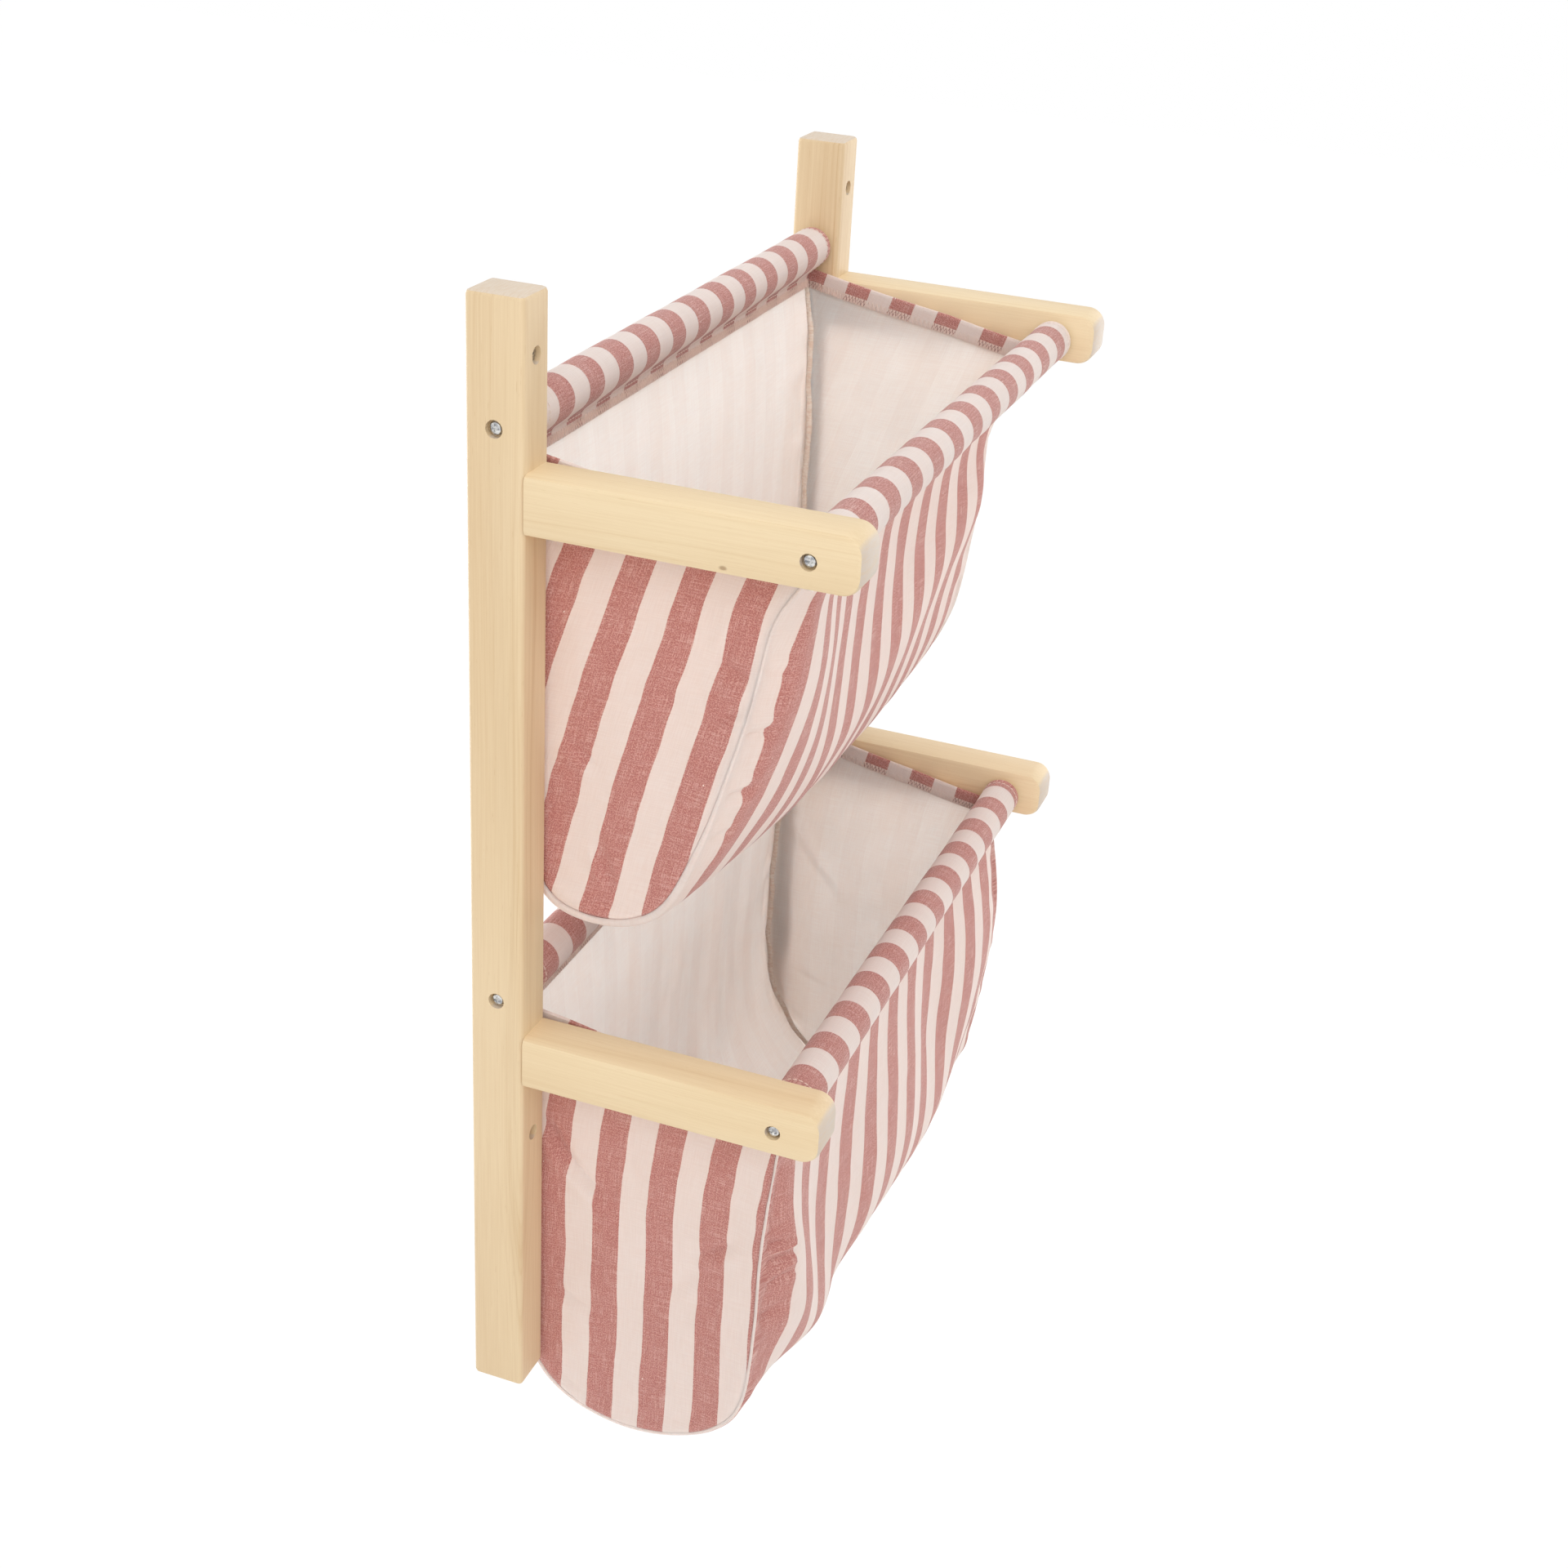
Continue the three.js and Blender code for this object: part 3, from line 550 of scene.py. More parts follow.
def cloth_start(name):
    """A cloth material, returned with its tree, shader inputs, place on the cloth, weave and stripe mask."""
    material, tree, shader = new_material(name)
    place = add_node(tree, "ShaderNodeAttribute", {"attribute_name": "cut_place"}).outputs["Vector"]
    weave = use_group(tree, canvas_weave, Cut_Place=place)
    mask = use_group(tree, stripes, Cut_Place=place)["Mask"]
    return material, tree, shader, place, weave, mask


def cloth_end(tree, shader, weave, face, relief, light_through, light_spread):
    """The matt, slightly soiled surface of a cloth, and the light that comes through it."""
    soil = ramp(tree, noise(tree, object_place(tree), SOIL_SCALE, 3.0), 0.25, 0.75, 0.0, SOIL_STRENGTH)
    tree.links.new(blend(tree, soil, face, colour(SOIL_COLOUR)), shader["Base Color"])
    height = work_out(tree, "MULTIPLY", weave["Height"], relief)
    raise_relief(tree, shader, height, WEAVE_RELIEF, WEAVE_HEIGHT)
    roughness = work_out(tree, "MULTIPLY_ADD", weave["Yarns"], YARN_ROUGHNESS, SMOOTHEST_CLOTH)
    tree.links.new(roughness, shader["Roughness"])
    shader["Sheen Weight"].default_value = CLOTH_SHEEN
    shader["Sheen Roughness"].default_value = CLOTH_SHEEN_ROUGHNESS
    shader["Specular IOR Level"].default_value = CLOTH_SPECULAR
    shader["Subsurface Weight"].default_value = light_through
    shader["Subsurface Radius"].default_value = CLOTH_SCATTER
    shader["Subsurface Scale"].default_value = light_spread


print("cloth shading lets light spread most in red:", CLOTH_SCATTER)

# %% [markdown]
# ## Printed face
# In a rose stripe, pale yarns come through the print as a speckle, and slubs show as white flecks. The pale
# stripes are much calmer. One colour pattern for both would make the pale ones look dirty, so each is mixed
# on its own, and the stripe mask chooses between them.

# %% Printed face
SPECKLE_SCALE, SPECKLE_RANGE = (1500, 1100, 1), (0.44, 0.62)
SHOWING_RANGE, SHOWING = (0.50, 0.62), 0.55
YARN_RANGE = (0.35, 0.65)
ROSE_DARK, ROSE_LIGHT, ROSE_YARN = "AE6E68", "D09C93", "DFB6AD"
SLUB_COLOUR = "F6EAE3"
PALE_DARK, PALE_LIGHT = "F1D3C9", "F5DAD1"

printed_cloth, t, shader, place, weave, mask = cloth_start("striped_canvas")
speckle = ramp(t, noise(t, place, SPECKLE_SCALE, 2.0, 0.7), *SPECKLE_RANGE)
rose = blend(t, speckle, colour(ROSE_DARK), colour(ROSE_LIGHT))
rose = blend(t, ramp(t, weave["Yarns"], *SHOWING_RANGE, 0.0, SHOWING), rose, colour(ROSE_YARN))
rose = blend(t, weave["Nubs"], rose, colour(SLUB_COLOUR))
pale = blend(t, ramp(t, weave["Yarns"], *YARN_RANGE), colour(PALE_DARK), colour(PALE_LIGHT))
face = blend(t, mask, pale, rose)
print("material", printed_cloth.name)

# %% [markdown]
# ## Bound hems on the print
# A hem's raw edge is bound by pale thread, whose zigzag shows up on the rose stripes. Its outer threads are
# modelled further down, but many more lie below them, so the cloth under them is painted pale with a darker
# zigzag. The attribute's third part is above zero only near a raw edge and grows towards it, and a distance
# that goes back and forth along the hem draws the zigzag.

# %% Bound hems on the print
BOUND_FROM, BOUND_FULL = 0.0009, 0.0011
BOUND_STRENGTH, BOUND_COLOUR = 0.88, "F3D9CF"
ZIGZAG_STEP = 0.0012
ZIGZAG_START, ZIGZAG_DEPTH = 0.0013, 0.0036
ZIGZAG_CORE, ZIGZAG_EDGE = 0.17, 0.30
ZIGZAG_STRENGTH, ZIGZAG_COLOUR = 0.75, "97625A"
PALE_RELIEF, ROSE_EXTRA_RELIEF = 0.4, 0.6
PRINT_LIGHT_THROUGH, PRINT_LIGHT_SPREAD = 0.75, 0.004

stripe_spot, _, hem_depth = split(t, place)
bound = ramp(t, hem_depth, BOUND_FROM, BOUND_FULL)
face = blend(t, work_out(t, "MULTIPLY", bound, BOUND_STRENGTH), face, colour(BOUND_COLOUR))
tooth = work_out(t, "DIVIDE", work_out(t, "PINGPONG", stripe_spot, ZIGZAG_STEP), ZIGZAG_STEP)
climb = work_out(t, "DIVIDE", work_out(t, "SUBTRACT", hem_depth, ZIGZAG_START), ZIGZAG_DEPTH)
off_line = work_out(t, "ABSOLUTE", work_out(t, "SUBTRACT", tooth, climb))
on_rose = work_out(t, "MULTIPLY", bound, mask)
zigzag = work_out(t, "MULTIPLY", ramp(t, off_line, ZIGZAG_CORE, ZIGZAG_EDGE, 1.0, 0.0), on_rose)
face = blend(t, work_out(t, "MULTIPLY", zigzag, ZIGZAG_STRENGTH), face, colour(ZIGZAG_COLOUR))
relief = work_out(t, "MULTIPLY_ADD", mask, ROSE_EXTRA_RELIEF, PALE_RELIEF)
cloth_end(t, shader, weave, face, relief, PRINT_LIGHT_THROUGH, PRINT_LIGHT_SPREAD)
print("a painted zigzag takes", 2 * ZIGZAG_STEP / MM, "mm")

# %% [markdown]
# ## Reverse of the print
# The inside of a sling is unprinted canvas, nearly white. The stripes only ghost through it, and faint
# pinkish clouds keep it from looking flat. A light that comes through the cloth shows most from inside, so
# this face has stronger and wider scattering than the print, and less relief.

# %% Reverse
REVERSE_DARK, REVERSE_LIGHT = "F7EAE2", "FCF3EC"
CLOUDY_SCALE, CLOUDY_RANGE = (22, 9, 1), (0.4, 0.75)
CLOUDY_STRENGTH, CLOUDY_COLOUR = 0.35, "F0D6CB"
GHOST_STRENGTH, GHOST_COLOUR = 0.07, "CFA49A"
REVERSE_RELIEF = 0.25
REVERSE_LIGHT_THROUGH, REVERSE_LIGHT_SPREAD = 0.9, 0.0055

reverse_cloth, t, shader, place, weave, mask = cloth_start("canvas_reverse")
plain = blend(t, ramp(t, weave["Yarns"], *YARN_RANGE), colour(REVERSE_DARK), colour(REVERSE_LIGHT))
cloudy = ramp(t, noise(t, place, CLOUDY_SCALE, 3.0), *CLOUDY_RANGE, 0.0, CLOUDY_STRENGTH)
plain = blend(t, cloudy, plain, colour(CLOUDY_COLOUR))
face = blend(t, work_out(t, "MULTIPLY", mask, GHOST_STRENGTH), plain, colour(GHOST_COLOUR))
cloth_end(t, shader, weave, face, REVERSE_RELIEF, REVERSE_LIGHT_THROUGH, REVERSE_LIGHT_SPREAD)
print("material", reverse_cloth.name)

# %% [markdown]
# ## Thread and bound seam edges
# Sewing thread is a twisted, matt yarn: fine noise gives it light and dark strands. The bound edge of an
# inside seam is many turns of such thread. Single turns would be lost at this size, so its noise is
# coarser, and it scatters light as the cloth does.

# %% Thread and bound seam edges
TWIST_SCALE, TWIST_RELIEF = (1500, 1500, 1500), 0.5
TWIST_ROUGHNESS = (0.3, 0.7, 0.7, 0.9)
THREAD_DARK, THREAD_LIGHT = "E8CDC0", "F8E6DC"
TURNS_SCALE, TURNS_RELIEF = (260, 260, 700), 0.3
TURNS_ROUGHNESS = (0.2, 0.8, 0.75, 0.9)
EDGE_DARK, EDGE_LIGHT = "E9D3C2", "F8EBDF"
EDGE_LIGHT_THROUGH, EDGE_SCATTER, EDGE_LIGHT_SPREAD = 0.6, (1.0, 0.9, 0.85), 0.003
THREAD_HEIGHT = 0.0002

thread, t, shader = new_material("sewing_thread")
twist = noise(t, object_place(t), TWIST_SCALE)
t.links.new(blend(t, twist, colour(THREAD_DARK), colour(THREAD_LIGHT)), shader["Base Color"])
t.links.new(ramp(t, twist, *TWIST_ROUGHNESS), shader["Roughness"])
raise_relief(t, shader, twist, TWIST_RELIEF, THREAD_HEIGHT)

bound_edge, t, shader = new_material("bound_seam_edge")
turns = noise(t, object_place(t), TURNS_SCALE)
edge_tone = blend(t, ramp(t, turns, 0.3, 0.7), colour(EDGE_DARK), colour(EDGE_LIGHT))
t.links.new(edge_tone, shader["Base Color"])
t.links.new(ramp(t, turns, *TURNS_ROUGHNESS), shader["Roughness"])
raise_relief(t, shader, turns, TURNS_RELIEF, THREAD_HEIGHT)
shader["Subsurface Weight"].default_value = EDGE_LIGHT_THROUGH
shader["Subsurface Radius"].default_value = EDGE_SCATTER
shader["Subsurface Scale"].default_value = EDGE_LIGHT_SPREAD
print("materials", thread.name, bound_edge.name)

# %% [markdown]
# ## Sizes of the slings
# Seen from the side, a sling is one strip of cloth. It starts at a hem, runs round the rear rod, down the
# back, along the bottom, up the front, round the front rod and ends at its second hem. Each casing hangs
# round its rod as a drop that is sewn shut below it, and the pull of the cloth leans the drop. The two
# slings share these sizes.

# %% Sizes of the slings
CLOTH_THICKNESS = 0.9
SLING_HALF = 208.0
CASING_RADIUS = 12.2
CASING_SLACK = 0.7
CASING_DROP = 18.0
REAR_LEAN = math.radians(8.5)
LAYER_GAP = 1.35
HEM_TAIL = 7.6
HEM_FLARE = math.radians(20)
BODY_LEAD = 5.6
print("each sling is", 2 * SLING_HALF, "mm wide and", CLOTH_THICKNESS, "mm thick")

# %% [markdown]
# The two slings hang differently, so each has values of its own, chosen beside the photograph:
# - drop is how far its bottom hangs below the rear rod, and pull is the front casing's lean in degrees.
# - left_line and right_line are the body's side view at its two ends. Each place is a share of the way from
#   the rear rod to the front rod, and a share of the drop. Between the ends the two lines are mixed.
# - mounds are soft swellings, or dips where the height is negative: height, middle across and along, reach
#   across and along, and lean.
# - rear_print and front_print are the middle of one rose stripe along X and the pitch, at that rod.
# - left_print and right_print are the middle of one rose stripe along Y and the pitch, on that end, with
#   the height from which the stripes lean, their lean, and how that lean bends.
# - right_rise lifts the right end's top edge, at the rear and at the front.
# - rim is the size of the rolled rim, round the bottom and up the front, and rim_shift moves the stripes on
#   it by that share of a pitch.
# - still_edge is the width beside an end seam over which the stripe stays the same.
# - crowd is how far the left end's stripes crowd back, near the top and the front.

# %% Shapes of the two slings
LEVELS = {
    "upper": {
        "drop": 282.0, "pull": 28.0, "rear_print": (-183.5, 35.9), "front_print": (-183.0, 36.8),
        "left_line": [(0.006, 0.30), (0.018, 0.66), (0.036, 0.89), (0.108, 0.975), (0.253, 1.0),
                      (0.41, 0.985), (0.53, 0.93), (0.62, 0.81), (0.70, 0.66), (0.783, 0.48), (0.843, 0.31)],
        "right_line": [(0.006, 0.30), (0.012, 0.69), (0.03, 0.92), (0.10, 1.01), (0.265, 1.05),
                       (0.458, 1.03), (0.614, 0.95), (0.708, 0.83), (0.753, 0.67), (0.775, 0.50),
                       (0.80, 0.34)],
        "mounds": [(14.5, 0.11, 0.85, 0.135, 0.14, -0.6), (8.0, 0.16, 0.71, 0.5, 0.095, 0.0),
                   (7.5, 1.05, 0.86, 0.19, 0.16, 3.3), (-3.0, 0.59, 0.87, 0.18, 0.09, -1.5)],
        "left_print": (-77.5, 35.5, -116.0, 0.345, -0.00038),
        "right_print": (-31.1, 33.3, -116.0, 0.345, 0.0),
        "right_rise": (1.5, 8.5), "rim": (0.72, 0.3), "rim_shift": 0.0, "still_edge": 0.0, "crowd": 6.0,
    },
    "lower": {
        "drop": 306.0, "pull": 12.0, "rear_print": (-159.0, 36.3), "front_print": (-159.25, 36.6),
        "left_line": [(0.006, 0.28), (0.012, 0.61), (0.024, 0.83), (0.09, 0.92), (0.217, 0.975),
                      (0.386, 1.0), (0.578, 0.993), (0.759, 0.95), (0.873, 0.87), (0.916, 0.72),
                      (0.93, 0.47)],
        "right_line": [(-0.01, 0.28), (-0.03, 0.56), (-0.005, 0.74), (0.09, 0.865), (0.24, 0.96),
                       (0.42, 1.018), (0.62, 1.01), (0.805, 0.95), (0.93, 0.845), (0.99, 0.68), (1.03, 0.42)],
        "mounds": [(13.5, 0.10, 0.85, 0.10, 0.185, -1.3), (12.0, 0.485, 0.835, 0.19, 0.08, -0.15),
                   (10.0, 0.79, 0.835, 0.155, 0.135, 0.8), (-5.5, 0.70, 0.89, 0.10, 0.065, -1.2)],
        "left_print": (-69.9, 34.4, -520.0, 0.0, 0.0),
        "right_print": (-75.0, 34.8, -520.0, 0.0, 0.0),
        "right_rise": (5.0, 10.0), "rim": (0.38, 0.38), "rim_shift": 0.5, "still_edge": 4.0, "crowd": 0.0,
    },
}
SIDES = {"left": -1, "right": 1}
print("slings", list(LEVELS))

# %% [markdown]
# The rods carry the slings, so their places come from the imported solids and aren't typed again. A rod lies
# along X, and the middle of its box gives its Y and Z.

# %% Places of the rods
def rod_place(name):
    """The Y and Z of a rod's middle, in millimetres."""
    low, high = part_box(name)
    return np.array([(low.y + high.y) / 2, (low.z + high.z) / 2]) / MM


for level_name, level in LEVELS.items():
    for end in ("rear", "front"):
        level[f"{end}_rod"] = rod_place(f"{level_name}_{end}_rod")
        print(level_name, end, "rod at y, z", level[f"{end}_rod"].round(1))

# %% [markdown]
# ## The line of a sling
# Panels, ends, seams and stitches all follow the same side view. A curve object could draw it, but then its
# points would have to be read back for each of them, so it is worked out here as plain lists of points. The
# helpers measure a line, spread points evenly along it, round its corners, and lead a smooth curve through
# a few knots.

# %% Helpers for lines
def distances(points):
    """How far along a broken line each of its points lies."""
    return np.r_[0, np.cumsum(np.linalg.norm(np.diff(points, axis=0), axis=1))]


def resample(points, count):
    """Points spread evenly along a broken line."""
    gone = distances(points)
    wanted = np.linspace(0, gone[-1], count)
    return np.column_stack([np.interp(wanted, gone, points[:, i]) for i in range(points.shape[1])])


def eased(points, passes):
    """Corners of a line rounded by averaging each point with its neighbours, with the ends kept."""
    for _ in range(passes):
        points = np.vstack([points[:1], (points[:-2] + 2 * points[1:-1] + points[2:]) / 4, points[-1:]])
    return points


def smooth_curve(knots, shares):
    """A smooth curve through knots, at shares of the way from the first to the last."""
    last = len(knots) - 1
    spot = np.clip(shares * last, 0, last - 1e-9)
    index = spot.astype(int)
    part = (spot - index)[:, None]
    before, start = knots[np.maximum(index - 1, 0)], knots[index]
    end, after = knots[index + 1], knots[np.minimum(index + 2, last)]
    leave, arrive = (end - before) / 2, (after - start) / 2
    return ((2 * start - 2 * end + leave + arrive) * part ** 3
            + (3 * end - 3 * start - 2 * leave - arrive) * part ** 2 + leave * part + start)


print("helpers for lines")

# %% [markdown]
# Round a rod, the cloth is an arc and two straights that meet in the stitches, with the hem's tail standing
# off a little below. A circle would look like a pipe, and the drop is what makes it look sewn and pulled.
# Easing rounds its corners, as thick canvas does. The whole line is the rear casing, the body's curve and
# the front casing.

# %% The side view of a sling
CASING_POINTS = 46
CASING_ARC_POINTS = 40
CASING_EASING = 2


def casing_line(rod, pull, body_side):
    """From the hem's end, up to the stitches, round the rod, down to the stitches and on into the body."""
    centre = rod - np.array([0, CASING_SLACK])
    stitch = centre + pull * CASING_DROP
    opening = math.acos(CASING_RADIUS / CASING_DROP)
    turn = np.linspace(-opening, opening - 2 * math.pi, CASING_ARC_POINTS)[:, None]
    ring = centre + CASING_RADIUS * (pull * np.cos(turn) + body_side * np.sin(turn))
    hem, body = stitch - body_side * LAYER_GAP / 2, stitch + body_side * LAYER_GAP / 2
    hem_end = hem + HEM_TAIL * (pull * math.cos(HEM_FLARE) - body_side * math.sin(HEM_FLARE))
    line = np.vstack([hem_end, hem, ring, body, body + pull * BODY_LEAD])
    return eased(resample(line, CASING_POINTS), CASING_EASING)


def side_line(level, across, shares):
    """The line from hem to hem at one place across the sling. Shares say where the body has its points."""
    lean = math.radians(level["pull"])
    rear_pull = np.array([math.sin(REAR_LEAN), -math.cos(REAR_LEAN)])
    rear = casing_line(level["rear_rod"], rear_pull, np.array([-rear_pull[1], rear_pull[0]]))
    pull = np.array([math.sin(lean), -math.cos(lean)])
    front = casing_line(level["front_rod"], pull, np.array([pull[1], -pull[0]]))[::-1]
    places = np.array(level["left_line"]) * (1 - across) + np.array(level["right_line"]) * across
    gap = level["front_rod"][0] - level["rear_rod"][0]
    knots = np.column_stack([level["rear_rod"][0] + gap * places[:, 0],
                             level["rear_rod"][1] - level["drop"] * places[:, 1]])
    knots = np.vstack([rear[-1], knots, front[0]])
    return np.vstack([rear, smooth_curve(knots, shares)[1:-1], front])


print("a casing takes", CASING_POINTS, "points")

# %% [markdown]
# Folds and stitches look even only where the rows of the mesh are about evenly far apart. The knots of the
# body's line aren't, so a first, fine line is measured, and the rows are then put at even distances along
# it.

# %% Rows of the body
BODY_POINTS = 200
MEASURING_POINTS = 1500


def even_shares(level):
    """Shares along the body that put its rows about evenly apart."""
    fine = np.linspace(0, 1, MEASURING_POINTS)
    gone = distances(side_line(level, 0.5, fine)[CASING_POINTS - 1:-CASING_POINTS + 1])
    return np.interp(np.linspace(0, gone[-1], BODY_POINTS), gone, fine)


for level_name, level in LEVELS.items():
    level["shares"] = even_shares(level)
    strip = side_line(level, 0.5, level["shares"])
    level["strip_length"] = float(distances(strip)[-1])
    print(level_name, "strip is", round(level["strip_length"]), "mm long, in", len(strip), "rows")

# %% [markdown]
# ## Relief of the cloth
# Hanging between its seams, the cloth isn't flat. It sags at the bottom, rounds out beside the end seams
# and dips between them. A cloth simulation would find folds of its own, but here they have to lie where the
# photograph has them, so the relief is a sum of simple hills. All unevenness comes from a fixed pattern of
# numbers, so each run gives the same folds.

# %% Hills and unevenness
PATTERN_SIZE = 160
PATTERN_MIDDLE = 60.0


def smooth_step(value, low, high):
    """0 below low, 1 above high, and a smooth way between them."""
    part = np.clip((value - low) / (high - low), 0, 1)
    return part * part * (3 - 2 * part)


def unevenness(first, second, cell, seed):
    """Soft hills between -1 and 1, in cells of the given two sizes."""
    pattern = np.random.RandomState(seed).uniform(-1, 1, (PATTERN_SIZE, PATTERN_SIZE))
    a, b = first / cell[0] + PATTERN_MIDDLE, second / cell[1] + PATTERN_MIDDLE
    ia, ib = np.floor(a).astype(int), np.floor(b).astype(int)
    pa, pb = a - ia, b - ib
    pa, pb = pa * pa * (3 - 2 * pa), pb * pb * (3 - 2 * pb)
    corner = [[pattern[(ia + i) % PATTERN_SIZE, (ib + j) % PATTERN_SIZE] for j in (0, 1)] for i in (0, 1)]
    return ((corner[0][0] * (1 - pb) + corner[0][1] * pb) * (1 - pa)
            + (corner[1][0] * (1 - pb) + corner[1][1] * pb) * pa)


def hills(kind, first, second, seed):
    """Unevenness of one kind, which is a height and a cell."""
    height, cell = kind
    return height * unevenness(first, second, cell, seed)


print("unevenness comes from", PATTERN_SIZE, "times", PATTERN_SIZE, "fixed numbers")

# %% [markdown]
# The largest forms are the sag, which is deepest half-way across and along the bottom, and a few mounds,
# where the cloth rounds out beside the seams, with a dip between them. They could be sculpted by hand, but
# a short list of bell-shaped hills can be read, repeated and changed.

# %% Sag and mounds
SAG = 9.0
SAG_START, SAG_END = 0.2, 0.86
MOUND_FADE = 0.06


def stand_out(level, across, along):
    """How far the body of a sling stands out of its plain side line."""
    fade = smooth_step(np.minimum(across, 1 - across), 0, MOUND_FADE)
    sag_place = np.clip((along - SAG_START) / (SAG_END - SAG_START), 0, 1)
    out = SAG * np.sin(np.pi * across) * np.sin(np.pi * sag_place) ** 2
    for height, middle, place, wide, long, lean in level["mounds"]:
        onward = along - place
        sideways = across - middle - lean * onward
        out = out + fade * height * np.exp(-(sideways / wide) ** 2 - (onward / long) ** 2)
    return out


print("the slings sag by", SAG, "mm")

# %% [markdown]
# Puckers are the small folds that a seam draws into the cloth. They stand square to the seam and fade out
# away from it. Creases are single: each is a narrow valley between two places, with a softer ridge beside
# it. Puckers are many and alike, so they come from unevenness, and creases are few and have to lie in the
# right places, so they are given.

# %% Puckers and creases
PUCKER_START = 6.0
FINE_PUCKERS, COARSE_PUCKERS = (0.8, (12.5, 40.0)), (1.0, (22.0, 60.0))
FINE_PUCKER_LENGTH_SHARE = 0.35
RIDGE_HEIGHT_SHARE, RIDGE_PLACE_SHARE, RIDGE_WIDTH_SHARE = 0.6, 1.9, 1.3
CREASE_END_FADE = 0.8
STRAY, FINE_STRAY = (0.75, (32.0, 70.0)), (0.5, (13.0, 45.0))


def puckers(gone, from_seam, reach, seed):
    """Small folds square to a seam, which fade out away from it."""
    waves = hills(FINE_PUCKERS, gone, from_seam * FINE_PUCKER_LENGTH_SHARE, seed)
    waves = waves + hills(COARSE_PUCKERS, gone, from_seam, seed + 1)
    return waves * np.exp(-from_seam / reach) * smooth_step(from_seam, 0.0, PUCKER_START)


def creased(places, creases):
    """Soft creases, each from one place to another, with a depth and a width."""
    out = np.zeros(places.shape[:2])
    for start, end, depth, width in creases:
        way = np.subtract(end, start)
        size = np.linalg.norm(way)
        way = way / size
        along = (places - start) @ way / size
        off = (places - start) @ np.array([-way[1], way[0]])
        fade = np.sin(np.pi * np.clip(along, 0, 1)) ** CREASE_END_FADE
        ridge = np.exp(-((off - RIDGE_PLACE_SHARE * width) / (RIDGE_WIDTH_SHARE * width)) ** 2)
        out += fade * depth * (RIDGE_HEIGHT_SHARE * ridge - np.exp(-(off / width) ** 2))
    return out


def stray(first, second, seed):
    """How many millimetres a stripe strays sideways, as where cloth is drawn a little off its grain."""
    return hills(STRAY, first, second, seed) + hills(FINE_STRAY, first, second, seed + 1)


print("stripes stray by up to", STRAY[0] + FINE_STRAY[0], "mm")

# %% [markdown]
# ## Making a cloth mesh
# A real cloth has two faces and an edge. A single layer of faces with a Solidify modifier would give them
# as well. Here the mesh itself has them, so that a sheet is one closed thin body in whatever program it is
# opened. Cloth, thread and seams are all linked by one helper, which also says on which body they ride and
# what they are made of.

# %% Linking a mesh
def link_mesh(name, points, faces, materials, material_index=None, cut_place=None):
    """A piece of cloth or thread from points in millimetres, smoothed and told where it belongs."""
    mesh = bpy.data.meshes.new(name)
    mesh.from_pydata((np.asarray(points) * MM).tolist(), [], faces)
    for material in materials:
        mesh.materials.append(material)
    if material_index is not None:
        mesh.polygons.foreach_set("material_index", material_index)
    if cut_place is not None:
        layer = mesh.attributes.new("cut_place", "FLOAT_VECTOR", "POINT")
        layer.data.foreach_set("vector", (np.asarray(cut_place) * MM).astype(np.float32).ravel())
    piece = bpy.data.objects.new(name, mesh)
    bpy.context.scene.collection.objects.link(piece)
    soften(piece)
    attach(piece, "root")
    return piece


print("helper for linking a mesh")

# %% [markdown]
# A sheet is two matching grids of points, half a thickness to either side of a middle surface: the printed
# face and the reverse. Faces of the reverse run the other way round, so that they look outwards too, and a
# strip of faces closes the rim between the two. Each face has its own material, and both carry the same
# place on the cut cloth.

# %% Cloth sheets
def surface_normals(grid):
    """The way out of the printed face at each point of a grid."""
    rows, columns = np.gradient(grid, axis=0), np.gradient(grid, axis=1)
    normals = np.cross(columns, rows)
    return normals / np.maximum(np.linalg.norm(normals, axis=2, keepdims=True), 1e-9)


def grid_faces(rows, columns, start, flipped):
    """Four-sided faces over a grid of points that starts at a given number."""
    index = start + np.arange(rows * columns).reshape(rows, columns)
    a, b, c, d = index[:-1, :-1], index[:-1, 1:], index[1:, 1:], index[1:, :-1]
    order = (a, d, c, b) if flipped else (a, b, c, d)
    return np.stack(order, axis=-1).reshape(-1, 4).tolist()


def cloth_piece(name, grid, cut_place):
    """A closed thin sheet round a grid of middle points. The printed face lies where columns cross rows."""
    rows, columns, _ = grid.shape
    half = surface_normals(grid) * CLOTH_THICKNESS / 2
    points = np.concatenate([grid + half, grid - half]).reshape(-1, 3)
    back = rows * columns
    printed = grid_faces(rows, columns, 0, False)
    reverse = grid_faces(rows, columns, back, True)
    index = np.arange(back).reshape(rows, columns)
    loop = np.concatenate([index[0, :-1], index[:-1, -1], index[-1, :0:-1], index[:0:-1, 0]])
    rim = [(int(b), int(a), int(a) + back, int(b) + back) for a, b in zip(loop, np.roll(loop, -1))]
    place = np.concatenate([cut_place.reshape(-1, 3)] * 2)
    faces, materials = printed + reverse + rim, [printed_cloth, reverse_cloth]
    material_index = [0] * len(printed) + [1] * len(reverse) + [0] * len(rim)
    return link_mesh(name, points, faces, materials, material_index, place)


print("helper for cloth sheets", CLOTH_THICKNESS, "mm thick")

# %% [markdown]
# ## The long panels
# Each panel is one strip of cloth, from hem to hem. Its bare form is the side line at each column, mixed
# from the two ends' lines. Even columns would waste points on the calm middle, so they stand closer
# together near the seams, where the small folds are. In the casings they stop a little short, and the rim's
# columns, which lie straight there, fill the rest.

